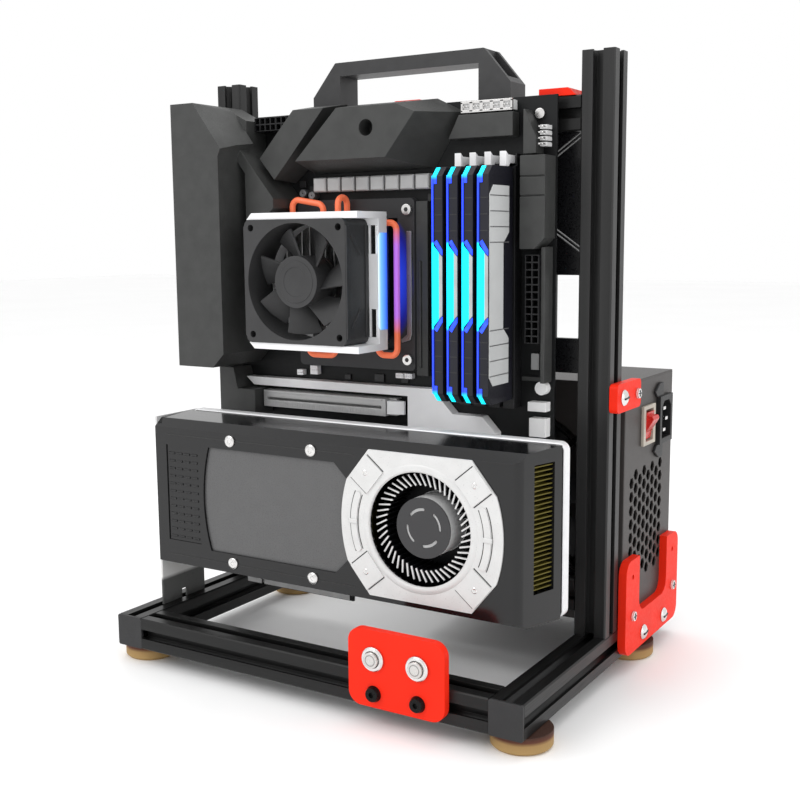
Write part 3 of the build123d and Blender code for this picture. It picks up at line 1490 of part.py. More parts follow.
with BuildPart() as card_board:
    board_low = rail_top + card_board_low
    finger_z0 = rail_top + finger_low
    with BuildSketch(front_plane(card_board_y + card_board_t)):
        with Locations((card_x0 + card_board_len / 2, rail_top + (card_board_low + card_board_high) / 2)):
            Rectangle(card_board_len, card_board_high - card_board_low)
        with Locations((card_x0 + (finger_x0 + finger_x1) / 2, (finger_z0 + board_low) / 2)):
            Rectangle(finger_x1 - finger_x0, board_low - finger_z0)
        with Locations((card_x0 + finger_key_x, finger_z0 + finger_key_h / 2)):
            Rectangle(finger_key_w, finger_key_h, mode=Mode.SUBTRACT)
    extrude(amount=card_board_t)
    motor_y = wheel_y1 + motor_gap
    block(blower_x - motor_half, blower_x + motor_half, motor_y, card_board_y,
          blower_z - motor_half, blower_z + motor_half)
    rod(blower_x, motor_y - axle_len, blower_z, axle_r, axle_len, "y")
card_board.part.label = "card_board"
export_step(card_board.part, "parts/card_board.step")

with BuildPart() as card_bracket:
    bracket_x = card_x0 - bracket_card_t
    bracket_mid = card_board_y + bracket_card_back - bracket_card_w / 2
    bracket_tall = card_z1 - rail_top
    with BuildSketch(side_plane(bracket_x)):
        with Locations((bracket_mid, rail_top + bracket_tall / 2)):
            Rectangle(bracket_card_w, bracket_tall)
        with Locations((bracket_mid, rail_top + bracket_notch_h / 2)):
            Rectangle(bracket_notch, bracket_notch_h, mode=Mode.SUBTRACT)
        for port_low in bracket_ports:
            with Locations((bracket_mid + bracket_port_in + bracket_port_w / 2,
                            rail_top + port_low + bracket_port_h / 2)):
                Rectangle(bracket_port_w, bracket_port_h, mode=Mode.SUBTRACT)
        for vent in range(bracket_vents):
            with Locations((bracket_mid - bracket_notch - bracket_vent_w / 2 + 0.5,
                            rail_top + bracket_vent_low + vent * bracket_vent_pitch + bracket_vent_h / 2)):
                Rectangle(bracket_vent_w, bracket_vent_h, mode=Mode.SUBTRACT)
    extrude(amount=bracket_card_t)
card_bracket.part.label = "card_bracket"
export_step(card_bracket.part, "parts/card_bracket.step")

with BuildPart() as card_backplate:
    shell_y0 = card_board_y + card_board_t
    with BuildSketch(front_plane(shell_y0 + shell_deep)):
        with Locations((card_x0 + shell_len / 2, rail_top + (shell_low + shell_high) / 2)):
            RectangleRounded(shell_len, shell_high - shell_low, shell_r)
    extrude(amount=shell_deep)
    offset(amount=-shell_wall, openings=card_backplate.faces().sort_by(Axis.Y)[0])
card_backplate.part.label = "card_backplate"
export_step(card_backplate.part, "parts/card_backplate.step")
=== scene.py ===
import json
import math

import bmesh
import bpy
from mathutils import Matrix, Vector


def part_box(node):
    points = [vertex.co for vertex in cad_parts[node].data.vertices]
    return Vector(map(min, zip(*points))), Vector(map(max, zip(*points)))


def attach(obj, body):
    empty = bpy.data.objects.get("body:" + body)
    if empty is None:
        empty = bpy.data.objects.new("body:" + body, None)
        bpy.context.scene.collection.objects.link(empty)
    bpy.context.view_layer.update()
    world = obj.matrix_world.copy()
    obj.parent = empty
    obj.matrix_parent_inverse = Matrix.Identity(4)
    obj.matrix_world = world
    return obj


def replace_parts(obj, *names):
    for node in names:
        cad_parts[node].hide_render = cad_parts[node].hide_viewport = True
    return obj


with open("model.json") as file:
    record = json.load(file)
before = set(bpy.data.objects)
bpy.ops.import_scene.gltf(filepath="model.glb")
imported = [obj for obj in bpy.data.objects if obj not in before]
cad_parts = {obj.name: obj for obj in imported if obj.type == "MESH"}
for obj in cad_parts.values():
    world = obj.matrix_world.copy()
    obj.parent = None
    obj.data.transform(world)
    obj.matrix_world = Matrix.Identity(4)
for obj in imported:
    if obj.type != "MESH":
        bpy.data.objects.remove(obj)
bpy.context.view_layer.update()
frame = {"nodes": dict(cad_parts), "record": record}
nodes = frame["nodes"]

MM = 0.001

# the photograph's camera, found from the frame's straight edges
CAMERA_PLACE = (378.8 * MM, -609.3 * MM, 266.9 * MM)
CAMERA_TURN = math.radians(31.726)
CAMERA_DIP = math.radians(8.158)
CAMERA_ROLL = math.radians(-0.478)
CAMERA_LENS = 50.92
CAMERA_SENSOR = 36.0
CAMERA_NEAR = 0.01


def span(node):
    """Lowest and highest corner of a node, in millimetres."""
    low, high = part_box(node)
    return low / MM, high / MM


def middle(node):
    """Middle of a node's box, in millimetres."""
    low, high = span(node)
    return (low + high) / 2


# surfaces
EVEN = (1.0, 1.0, 1.0)
NOISE_LOW, NOISE_HIGH = 0.3, 0.7
FINE_DETAIL, BROAD_DETAIL = 5.0, 3.0
# the mottling is this many times coarser than the grain
BROAD_RATIO = 12.0
ROUGH_LEAST, ROUGH_SWING = 0.03, 0.08
BUMP_DISTANCE = 0.0004
PLAIN_GRAIN, PLAIN_GLOSS = 900.0, 0.35
PLACED_DEPTH = 0.012


def new_material(name):
    made = bpy.data.materials.new(name)
    made.use_nodes = True
    return made, made.node_tree, made.node_tree.nodes["Principled BSDF"]


def object_noise(tree, scale, detail, stretch=EVEN):
    place = tree.nodes.new("ShaderNodeTexCoord")
    mapping = tree.nodes.new("ShaderNodeMapping")
    mapping.inputs["Scale"].default_value = stretch
    noise = tree.nodes.new("ShaderNodeTexNoise")
    noise.inputs["Scale"].default_value = scale
    noise.inputs["Detail"].default_value = detail
    tree.links.new(place.outputs["Object"], mapping.inputs["Vector"])
    tree.links.new(mapping.outputs["Vector"], noise.inputs["Vector"])
    return noise.outputs["Fac"]


def ramp(tree, factor, stops):
    """A colour that follows the factor through stops of (place, colour)."""
    blend = tree.nodes.new("ShaderNodeValToRGB")
    marks = blend.color_ramp.elements
    while len(marks) < len(stops):
        marks.new(0.5)
    for mark, (place, colour) in zip(marks, stops):
        mark.position = place
        mark.color = (*colour, 1.0)
    tree.links.new(factor, blend.inputs["Fac"])
    return blend.outputs["Color"]


def spread(tree, factor, low, high):
    """The noise's usual range drawn out to low and high."""
    stretch = tree.nodes.new("ShaderNodeMapRange")
    stretch.inputs["From Min"].default_value = NOISE_LOW
    stretch.inputs["From Max"].default_value = NOISE_HIGH
    stretch.inputs["To Min"].default_value = low
    stretch.inputs["To Max"].default_value = high
    tree.links.new(factor, stretch.inputs["Value"])
    return stretch.outputs["Result"]


def along(tree, axis, start, end):
    """0 at start to 1 at end along an axis of the piece, both in millimetres."""
    place = tree.nodes.new("ShaderNodeTexCoord")
    parts = tree.nodes.new("ShaderNodeSeparateXYZ")
    stretch = tree.nodes.new("ShaderNodeMapRange")
    stretch.inputs["From Min"].default_value = start * MM
    stretch.inputs["From Max"].default_value = end * MM
    tree.links.new(place.outputs["Object"], parts.inputs["Vector"])
    tree.links.new(parts.outputs[axis], stretch.inputs["Value"])
    return stretch.outputs["Result"]


def distance(tree, centre, plane, reach):
    """0 at a centre to 1 at the reach, measured in the plane, in millimetres."""
    place = tree.nodes.new("ShaderNodeTexCoord")
    keep = tree.nodes.new("ShaderNodeVectorMath")
    keep.operation = "MULTIPLY"
    keep.inputs[1].default_value = plane
    gap = tree.nodes.new("ShaderNodeVectorMath")
    gap.operation = "DISTANCE"
    gap.inputs[1].default_value = tuple(c * p * MM for c, p in zip(centre, plane))
    stretch = tree.nodes.new("ShaderNodeMapRange")
    stretch.inputs["From Max"].default_value = reach * MM
    tree.links.new(place.outputs["Object"], keep.inputs[0])
    tree.links.new(keep.outputs["Vector"], gap.inputs[0])
    tree.links.new(gap.outputs["Value"], stretch.inputs["Value"])
    return stretch.outputs["Result"]


def grain_into(tree, shader, grain, depth, rough, stretch=EVEN):
    """Uneven gloss and a fine bump from one noise."""
    fine = object_noise(tree, grain, FINE_DETAIL, stretch)
    uneven = spread(tree, fine, max(ROUGH_LEAST, rough - ROUGH_SWING), rough + ROUGH_SWING)
    tree.links.new(uneven, shader.inputs["Roughness"])
    bump = tree.nodes.new("ShaderNodeBump")
    bump.inputs["Strength"].default_value = depth
    bump.inputs["Distance"].default_value = BUMP_DISTANCE
    tree.links.new(fine, bump.inputs["Height"])
    tree.links.new(bump.outputs["Normal"], shader.inputs["Normal"])


def finish(name, colour, rough, metal=0.0, grain=PLAIN_GRAIN, depth=0.05, mottle=0.12, stretch=EVEN,
           gloss=PLAIN_GLOSS):
    """A surface with mottled colour, uneven gloss and a fine grain."""
    made, tree, shader = new_material(name)
    low = tuple(part * (1.0 - mottle) for part in colour)
    high = tuple(min(1.0, part * (1.0 + mottle)) for part in colour)
    broad = object_noise(tree, grain / BROAD_RATIO, BROAD_DETAIL, stretch)
    mottled = ramp(tree, broad, ((NOISE_LOW, low), (NOISE_HIGH, high)))
    tree.links.new(mottled, shader.inputs["Base Color"])
    grain_into(tree, shader, grain, depth, rough, stretch)
    shader.inputs["Metallic"].default_value = metal
    shader.inputs["Specular IOR Level"].default_value = gloss
    return made


def placed_finish(name, factor, stops, rough, metal=0.0, glow=0.0):
    """A surface whose colour follows a place on the piece; with glow it shines in that colour."""
    made, tree, shader = new_material(name)
    colour = ramp(tree, factor(tree), stops)
    tree.links.new(colour, shader.inputs["Base Color"])
    grain_into(tree, shader, PLAIN_GRAIN, PLACED_DEPTH, rough)
    shader.inputs["Metallic"].default_value = metal
    shader.inputs["Specular IOR Level"].default_value = PLAIN_GLOSS
    if glow:
        tree.links.new(colour, shader.inputs["Emission Color"])
        shader.inputs["Emission Strength"].default_value = glow
    return made


def layered_finish(name, factor, depth, front_stops, deep_stops, rough, gloss):
    """A surface whose colour follows a place on the piece, with other colours deeper down."""
    made, tree, shader = new_material(name)
    place = factor(tree)
    blend = tree.nodes.new("ShaderNodeMixRGB")
    tree.links.new(depth(tree), blend.inputs["Fac"])
    tree.links.new(ramp(tree, place, front_stops), blend.inputs["Color1"])
    tree.links.new(ramp(tree, place, deep_stops), blend.inputs["Color2"])
    tree.links.new(blend.outputs["Color"], shader.inputs["Base Color"])
    grain_into(tree, shader, PLAIN_GRAIN, PLACED_DEPTH, rough)
    shader.inputs["Specular IOR Level"].default_value = gloss
    return made


def grey(value):
    return value, value, value


# brushed surfaces have their grain drawn out along one axis
BRUSHED = 0.03
ALONG_X = (BRUSHED, 1.0, 1.0)
ALONG_Y = (1.0, BRUSHED, 1.0)
ALONG_Z = (1.0, 1.0, BRUSHED)
# directions in which a distance counts
ACROSS_Y = (1.0, 0.0, 1.0)
ONLY_Z = (0.0, 0.0, 1.0)
NARROW_X = (2.4, 0.0, 1.0)

CYAN = (0.0, 0.78, 1.0)
BLUE = (0.02, 0.06, 0.95)
PALE_BLUE = (0.3, 0.62, 1.0)
SHADE_BLACK_PAINTED = (0.004, 0.004, 0.005)
CORAL = (0.9, 0.19, 0.085)
VIOLET_PAINTED_REFLECTION = (0.62, 0.2, 0.9)
HUB_GREY = (0.06, 0.06, 0.062)
BLADE_GREY, ARC_PAINTED_HIGHLIGHT, HUB_SIDE_PAINTED_HIGHLIGHT = grey(0.7), grey(0.6), grey(0.9)
CAP_GREY, CAP_RING = (0.62, 0.61, 0.59), (0.3, 0.29, 0.28)
SOCKET_WHITE, SOCKET_DARK, SOCKET_PALE = grey(0.8), grey(0.25), grey(0.62)
BRACKET_DARK = (0.085, 0.087, 0.085)

# places that the colours follow, in millimetres
blower_middle = middle("card_blower")
wheel_front = span("card_blower")[0].y
lights_middle = middle("memory_light_bars")
sink_low, sink_high = span("cooler_heatsink")
cool_middle = (sink_low + sink_high) / 2
bracket_low, bracket_high = span("cpu_bracket")
housing_low, housing_high = span("cooler_housing")
headers_low, headers_high = span("board_headers")
mount_low, mount_high = span("card_bracket")
feet_top = span("feet")[1].z
SIDE_LIGHT_W = 10.0
GLOW_REACH, PIPE_GLOW_OUT, BRACKET_GLOW_OUT = 38.0, 11.0, 2.0
LIGHT_REACH, LIT_HALF, LIT_FADE = 70.0, 23.5, 1.5
WHEEL_REACH, WHEEL_SKIN, WHEEL_DEEP = 31.5, 0.45, 0.9
CAP_REACH = 6.0
BLUE_GRAIN, BLUE_DETAIL = 300.0, 2.0

# stops of (share of the way, colour)
CAP_STOPS = (
    (0.0, CAP_GREY), (0.42, CAP_GREY), (0.45, CAP_RING),
    (0.52, CAP_RING), (0.55, CAP_GREY), (1.0, CAP_GREY),
)
LIGHT_STOPS = (
    (0.0, CYAN), (LIT_HALF / LIGHT_REACH, CYAN), ((LIT_HALF + LIT_FADE) / LIGHT_REACH, BLUE),
    (0.85, BLUE), (0.9, CYAN),
)
# copper, with a painted violet reflection of the blue light where the pipe is nearest the cooler
PIPE_PAINTED_GLOW_STOPS = ((0.0, VIOLET_PAINTED_REFLECTION), (0.55, VIOLET_PAINTED_REFLECTION), (0.85, CORAL), (1.0, CORAL))
WHEEL_FRONT_STOPS = ((0.0, HUB_GREY), (0.56, HUB_GREY), (0.57, BLADE_GREY), (1.0, BLADE_GREY))
# deeper down the wheel is painted: pale hub-slot floors and hub side as painted highlights, black between and
# beside the blades as painted shade
WHEEL_DEEP_SHADE_AND_HIGHLIGHT_STOPS = (
    (0.0, ARC_PAINTED_HIGHLIGHT), (0.45, ARC_PAINTED_HIGHLIGHT), (0.5, HUB_SIDE_PAINTED_HIGHLIGHT),
    (0.558, HUB_SIDE_PAINTED_HIGHLIGHT), (0.566, SHADE_BLACK_PAINTED), (1.0, SHADE_BLACK_PAINTED),
)
LIT_BRACKET_STOPS = (
    (0.0, PALE_BLUE), (0.3, (0.02, 0.06, 0.7)), (0.8, (0.01, 0.012, 0.2)), (1.0, (0.014, 0.014, 0.015)),
)
BLUE_STOPS = ((NOISE_LOW, (0.015, 0.05, 0.8)), (NOISE_HIGH, (0.03, 0.09, 0.95)))
SIDE_LIGHT_STOPS = (
    (0.0, (0.75, 0.9, 1.0)), (0.25, (0.2, 0.55, 1.0)), (0.8, (0.05, 0.2, 0.95)), (1.0, (0.02, 0.05, 0.5)),
)
HEADER_STOPS = (
    (0.0, SOCKET_WHITE), (0.185, SOCKET_WHITE), (0.19, SOCKET_DARK),
    (0.77, SOCKET_DARK), (0.78, SOCKET_PALE),
)
CARD_BRACKET_STOPS = (
    (0.0, BRACKET_DARK), (0.13, BRACKET_DARK), (0.15, (0.7, 0.7, 0.69)), (1.0, grey(0.6)),
)
# the feet are cork-coloured below, with a painted shadow from the rail darkening their tops
FOOT_PAINTED_SHADOW_STOPS = (
    (0.0, (0.4, 0.26, 0.1)), (0.55, (0.34, 0.21, 0.08)),
    (0.75, (0.1, 0.03, 0.015)), (1.0, (0.05, 0.02, 0.012)),
)

looks = {
    "cap": finish("end cap plastic", (0.022, 0.022, 0.023), rough=0.5),
    "red_plate": finish(
        "red plate", (0.86, 0.024, 0.007), rough=0.45, grain=500, depth=0.03, mottle=0.05, gloss=0.12,
    ),
    "black_steel": finish("black steel", grey(0.01), rough=0.3, metal=0.7),
    "silver_steel": finish(
        "silver steel", (0.72, 0.71, 0.7), rough=0.22, metal=1.0, grain=1800, depth=0.05, mottle=0.08,
    ),
    "handle": finish("handle plastic", (0.034, 0.034, 0.035), rough=0.45, grain=1400, depth=0.12),
    "panel": finish("black panel", (0.006, 0.006, 0.007), rough=0.3),
    "psu_metal": finish(
        "power supply paint", (0.05, 0.045, 0.043), rough=0.45, metal=0.1, grain=1600, depth=0.1, mottle=0.04,
    ),
    "black_plastic": finish("black plastic", (0.012, 0.012, 0.013), rough=0.45),
    "fan_plastic": finish("fan plastic", (0.036, 0.036, 0.037), rough=0.44),
    "switch_plastic": finish("switch frame", (0.42, 0.38, 0.32), rough=0.4),
    "red_plastic": finish("red rocker", (0.5, 0.012, 0.008), rough=0.25),
    "circuit_board": finish(
        "black circuit board", (0.007, 0.0075, 0.008), rough=0.45, grain=800, depth=0.1, gloss=0.2,
    ),
    "cover_dark": finish("dark cover", (0.044, 0.045, 0.044), rough=0.46, metal=0.1, grain=1300, depth=0.06),
    "port_metal": finish(
        "port steel", grey(0.5), rough=0.34, metal=1.0, grain=1500, depth=0.015, mottle=0.05,
    ),
    "choke_grey": finish("choke grey", grey(0.5), rough=0.42, metal=0.2),
    "white_plastic": finish("white plastic", (0.84, 0.84, 0.85), rough=0.38, depth=0.03, mottle=0.03),
    "slot_metal": finish(
        "slot steel", grey(0.5), rough=0.34, metal=0.35, grain=1500, depth=0.03, mottle=0.08, stretch=ALONG_X,
    ),
    "light_bar": placed_finish(
        "light bar",
        lambda tree: distance(tree, lights_middle, ONLY_Z, LIGHT_REACH),
        LIGHT_STOPS, rough=0.35, glow=1.0,
    ),
    "spreader": finish("memory spreader", (0.014, 0.014, 0.02), rough=0.35, metal=0.2),
    "sink_metal": finish(
        "aluminium fins", grey(0.5), rough=0.3, metal=1.0, grain=1500, depth=0.05, mottle=0.08, stretch=ALONG_Z,
    ),
    # copper with a painted violet reflection of the blue light and a painted glow
    "copper_pipe": placed_finish(
        "copper pipe with painted blue glow",
        lambda tree: distance(
            tree, (sink_high.x + PIPE_GLOW_OUT, 0.0, cool_middle.z), ACROSS_Y, GLOW_REACH,
        ),
        PIPE_PAINTED_GLOW_STOPS, rough=0.38, glow=0.25,
    ),
    "card_dark": finish(
        "card shroud", (0.006, 0.006, 0.0065), rough=0.14, grain=1500, depth=0.02, gloss=0.42,
    ),
    "card_pane": finish("card window", (0.1, 0.1, 0.101), rough=0.3, grain=1500, depth=0.02, mottle=0.03),
    "ring_pale": finish(
        "card ring", (0.66, 0.66, 0.655), rough=0.34, metal=0.2, grain=1500, depth=0.04, mottle=0.03,
    ),
    "memory_pale": finish("memory side plate", (0.52, 0.53, 0.53), rough=0.38, depth=0.03, mottle=0.03),
    "card_white": finish(
        "card pale metal", (0.78, 0.78, 0.79), rough=0.34, metal=0.2, grain=1500, depth=0.04, mottle=0.03,
    ),
    "olive_fins": finish(
        "olive fins", (0.12, 0.1, 0.016), rough=0.4, metal=0.6, grain=1500, depth=0.05, mottle=0.15,
        stretch=ALONG_Y,
    ),
    # blower wheel: its own colours on the front, painted highlights and painted shade deeper down
    "wheel": layered_finish(
        "blower wheel with painted shade and highlights",
        lambda tree: distance(tree, blower_middle, ACROSS_Y, WHEEL_REACH),
        lambda tree: along(tree, "Y", wheel_front + WHEEL_SKIN, wheel_front + WHEEL_DEEP),
        WHEEL_FRONT_STOPS, WHEEL_DEEP_SHADE_AND_HIGHLIGHT_STOPS, rough=0.45, gloss=0.12,
    ),
    "lit_bracket": placed_finish(
        "bracket lit by the cooler",
        lambda tree: distance(
            tree, (sink_high.x + BRACKET_GLOW_OUT, 0.0, cool_middle.z), NARROW_X, GLOW_REACH,
        ),
        LIT_BRACKET_STOPS, rough=0.45, glow=0.8,
    ),
    "blue_light": placed_finish(
        "blue light",
        lambda tree: object_noise(tree, BLUE_GRAIN, BLUE_DETAIL),
        BLUE_STOPS, rough=0.35, glow=0.9,
    ),
    "side_light": placed_finish(
        "light beside the cooler",
        lambda tree: along(tree, "Y", housing_high.y - SIDE_LIGHT_W, housing_high.y),
        SIDE_LIGHT_STOPS, rough=0.4, glow=0.7,
    ),
    "header_mix": placed_finish(
        "board sockets",
        lambda tree: along(tree, "Z", headers_low.z, headers_high.z),
        HEADER_STOPS, rough=0.35,
    ),
    "bracket_mix": placed_finish(
        "card bracket",
        lambda tree: along(tree, "Z", mount_low.z, mount_high.z),
        CARD_BRACKET_STOPS, rough=0.34, metal=0.1,
    ),
    # cork colour, with a painted shadow on the top of each foot
    "foot_painted_shadow": placed_finish(
        "cork foot with painted shadow above",
        lambda tree: along(tree, "Z", 0.0, feet_top),
        FOOT_PAINTED_SHADOW_STOPS, rough=0.7,
    ),
    "pale_grey": finish("pale grey plastic", grey(0.45), rough=0.4),
    "seam": finish("dark seam", grey(0.03), rough=0.5),
    "grey_metal": finish("grey metal", (0.3, 0.3, 0.31), rough=0.35, metal=0.7),
    "part_black": finish("component black", (0.02, 0.02, 0.021), rough=0.35),
}
# the upright rails (z) get a lighter tone than the level ones: painted light on one anodised finish
for axis, tone, brushing in (("x", 0.016, ALONG_X), ("y", 0.016, ALONG_Y), ("z", 0.03, ALONG_Z)):
    looks[f"rail_{axis}"] = finish(
        f"black anodised along {axis}", grey(tone), rough=0.36, metal=0.5, grain=1500, depth=0.06, mottle=0.2,
        stretch=brushing,
    )
for button in ("power", "reset"):
    looks[f"{button}_cap"] = placed_finish(
        f"{button} button cap",
        lambda tree: distance(tree, middle(f"{button}_button"), ACROSS_Y, CAP_REACH),
        CAP_STOPS, rough=0.25, metal=0.9,
    )

# nodes whose look isn't the one of their material slot
node_looks = {
    "base_side_rails": "rail_y",
    "base_cross_rails": "rail_x",
    "crossbars": "rail_x",
    "upright_left": "rail_z",
    "upright_right": "rail_z",
    "card_heatsink": "olive_fins",
    "card_blower": "wheel",
    "card_ring": "ring_pale",
    "cpu_bracket": "lit_bracket",
    "board_headers": "header_mix",
    "card_bracket": "bracket_mix",
    "feet": "foot_painted_shadow",
    "power_button": "power_cap",
    "reset_button": "reset_cap",
}

bevels = {
    "carry_handle": 2.0,
    "button_plate": 0.8,
    "psu_plate_upper": 0.8,
    "psu_plate_lower": 0.8,
    "io_shroud": 1.2,
    "vrm_cover": 1.0,
    "board_covers": 0.8,
    "card_shroud": 2.0,
    "card_backplate": 1.2,
    "cooler_fan_frame": 0.8,
    "cooler_housing": 0.6,
}
PLAIN_BEVEL, PIECE_BEVEL = 0.3, 0.15
BEVEL_STEPS = 2
SHARP_FROM = math.radians(35.0)
FLAT_WITHIN = math.radians(0.5)
WELD_GAP = 0.00001
# faces with a large opening lose it when their facets are merged
PIERCED = ("card_ring", "card_shroud")


def soften(piece, width):
    """Rounded edges and smooth shading over the flats between them."""
    edge = piece.modifiers.new("edge", "BEVEL")
    edge.width = width * MM
    edge.segments = BEVEL_STEPS
    edge.limit_method = "ANGLE"
    edge.angle_limit = SHARP_FROM
    edge.use_clamp_overlap = True
    normal = piece.modifiers.new("normal", "WEIGHTED_NORMAL")
    normal.keep_sharp = True
    for face in piece.data.polygons:
        face.use_smooth = True


def dress(name, look):
    """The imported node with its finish, merged facets and softened edges."""
    node = nodes[name]
    node.data.materials.clear()
    node.data.materials.append(look)
    weld = node.modifiers.new("weld", "WELD")
    weld.merge_threshold = WELD_GAP
    if name not in PIERCED:
        flat = node.modifiers.new("flat", "DECIMATE")
        flat.decimate_type = "DISSOLVE"
        flat.angle_limit = FLAT_WITHIN
    soften(node, bevels.get(name, PLAIN_BEVEL))


slots = {part["node"]: part["material_slot"] for part in frame["record"]["subparts"]}
for node_name in nodes:
    dress(node_name, looks[node_looks.get(node_name, slots[node_name])])


# shapes for the detail pieces, in millimetres of the shared frame
def rectangle(a0, a1, b0, b1):
    return (a0, b0), (a1, b0), (a1, b1), (a0, b1)


def placed(points, a0, b0, up=1):
    """An outline moved to a place, hanging upside down where up is -1."""
    return [(a0 + a, b0 + up * b) for a, b in points]


def deep(profile, depth):
    """A profile of (radius, depth) moved along its axis."""
    return placed(profile, 0.0, depth)


def turn(points, angle, centre):
    """Points turned about a centre."""
    a0, b0 = centre
    c, s = math.cos(angle), math.sin(angle)
    return [(a0 + a * c - b * s, b0 + a * s + b * c) for a, b in points]


def circle(centre, radius, angles):
    """Points of a circle at the given angles, in degrees."""
    a0, b0 = centre
    return [
        (a0 + radius * math.cos(math.radians(angle)), b0 + radius * math.sin(math.radians(angle)))
        for angle in angles
    ]


class Maker:
    """Gathers shapes into one mesh and turns them into a piece."""

    def __init__(self):
        self.mesh = bmesh.new()

    def corner(self, a, b, depth, axis):
        places = {"x": (depth, a, b), "y": (a, depth, b), "z": (a, b, depth)}
        return self.mesh.verts.new([value * MM for value in places[axis]])

    def prism(self, points, low, high, axis="y"):
        """An outline across the axis, drawn out along it."""
        near = [self.corner(a, b, low, axis) for a, b in points]
        far = [self.corner(a, b, high, axis) for a, b in points]
        self.mesh.faces.new(near)
        self.mesh.faces.new(far[::-1])
        for i in range(len(points)):
            j = (i + 1) % len(points)
            self.mesh.faces.new((near[j], near[i], far[i], far[j]))

    def brick(self, x0, x1, y0, y1, z0, z1):
        self.prism(rectangle(x0, x1, z0, z1), y0, y1)

    def turned(self, centre, profile, steps, axis="y"):
        """A closed profile of (radius, depth) turned about an axis through the centre."""
        a0, b0 = centre
        rings = []
        for step in range(steps):
            angle = 2 * math.pi * step / steps
            ring = [
                self.corner(a0 + radius * math.cos(angle), b0 + radius * math.sin(angle), depth, axis)
                for radius, depth in profile
            ]
            rings.append(ring)
        for step in range(steps):
            here, there = rings[step], rings[(step + 1) % steps]
            for i in range(len(profile)):
                j = (i + 1) % len(profile)
                self.mesh.faces.new((here[i], here[j], there[j], there[i]))

    def piece(self, name, look, slot, bevel=PIECE_BEVEL, body="bench"):
        bmesh.ops.remove_doubles(self.mesh, verts=self.mesh.verts, dist=WELD_GAP)
        bmesh.ops.recalc_face_normals(self.mesh, faces=self.mesh.faces)
        data = bpy.data.meshes.new(name)
        self.mesh.to_mesh(data)
        self.mesh.free()
        made = bpy.data.objects.new(name, data)
        bpy.context.scene.collection.objects.link(made)
        data.materials.append(looks[look])
        soften(made, bevel)
        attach(made, body)
        return made


# graphics card: lip, seams, screws and pegs of the pale plate around the blower
ring_low, ring_high = span("card_ring")
ring_at = ((ring_low.x + ring_high.x) / 2, (ring_low.z + ring_high.z) / 2)
PAD_T = 0.8
plate_y = ring_low.y + PAD_T
PAD_ANGLES = (39.5, 140.5, 219.5, 320.5)

LIP_PROFILE = ((32.6, 0.6), (33.0, -0.4), (33.8, -0.7), (35.4, -0.5), (36.8, 0.0), (36.8, 0.6))
lip = Maker()
lip.turned(ring_at, deep(LIP_PROFILE, plate_y), steps=96)
lip.piece("card_ring_lip", "ring_pale", "card_white")

SEAM_IN, SEAM_OUT, SEAM_AWAY, SEAM_HALF = 37.2, 51.0, 9.0, 0.3
SEAM_UP, SEAM_ROOT = 0.12, 0.2
ARC_RADII, ARC_ANGLES = (40.4, 45.6), range(-23, 24, 2)
ARC_HALF, ARC_UP = 0.25, 0.1
seams = Maker()
for pad_angle in PAD_ANGLES:
    for away in (-SEAM_AWAY, SEAM_AWAY):
        strip = rectangle(SEAM_IN, SEAM_OUT, away - SEAM_HALF, away + SEAM_HALF)
        seams.prism(turn(strip, math.radians(pad_angle), ring_at), plate_y - SEAM_UP, plate_y + SEAM_ROOT)
for side in (0.0, 180.0):
    angles = [side + angle for angle in ARC_ANGLES]
    for radius in ARC_RADII:
        outer = circle(ring_at, radius + ARC_HALF, angles)
        inner = circle(ring_at, radius - ARC_HALF, angles)
        seams.prism(outer + inner[::-1], plate_y - ARC_UP, plate_y + SEAM_ROOT)
seams.piece("card_ring_seams", "seam", "card_dark", bevel=0.05)

STUD_OUT = 45.5
STUD_PROFILE = ((0.5, 0.3), (0.7, -0.15), (1.3, -0.3), (1.8, 0.0), (1.8, 0.3))
studs = Maker()
for pad_angle in PAD_ANGLES:
    stud_at = turn(((STUD_OUT, 0.0),), math.radians(pad_angle), ring_at)[0]
    studs.turned(stud_at, deep(STUD_PROFILE, ring_low.y), steps=20)
studs.piece("card_ring_studs", "silver_steel", "silver_steel", bevel=0.05)

PEG_OUTLINE = rectangle(40.6, 45.8, -1.4, 1.4)
PEG_UP = 0.7
pegs = Maker()
for side in (0.0, math.pi):
    pegs.prism(turn(PEG_OUTLINE, side, ring_at), ring_low.y - PEG_UP, plate_y)
pegs.piece("card_ring_pegs", "ring_pale", "card_white", bevel=0.4)

# card shroud: rows of small louvres in the left recess, and two long lines on its face
shroud_low, shroud_high = span("card_shroud")
LOUVRE_LEFT, LOUVRE_LOW = 11.0, 20.5
LOUVRE_COLUMNS, LOUVRE_ROWS = 4, 12
LOUVRE_ACROSS, LOUVRE_RISE, LOUVRE_W = 6.2, 4.9, 4.6
LOUVRE_PROFILE = ((0.7, 0.0), (0.15, 0.5), (0.15, 1.2), (0.7, 1.7))
louvres = Maker()
for column in range(LOUVRE_COLUMNS):
    x = shroud_low.x + LOUVRE_LEFT + column * LOUVRE_ACROSS
    for row in range(LOUVRE_ROWS):
        z = shroud_low.z + LOUVRE_LOW + row * LOUVRE_RISE
        louvres.prism(placed(LOUVRE_PROFILE, shroud_low.y, z), x, x + LOUVRE_W, "x")
louvres.piece("card_louvres", "card_dark", "card_dark", bevel=0.1)

LINE_LEFT, LINE_LAP, LINE_LOW, LINE_DOWN = 9.0, 8.0, 9.0, 10.5
LINE_H, LINE_UP, LINE_ROOT = 0.5, 0.25, 0.2
lines = Maker()
for z in (shroud_low.z + LINE_LOW, shroud_high.z - LINE_DOWN):
    lines.brick(
        shroud_low.x + LINE_LEFT, ring_low.x + LINE_LAP, shroud_low.y - LINE_UP, shroud_low.y + LINE_ROOT,
        z, z + LINE_H,
    )
lines.piece("card_face_lines", "seam", "card_dark", bevel=0.05)

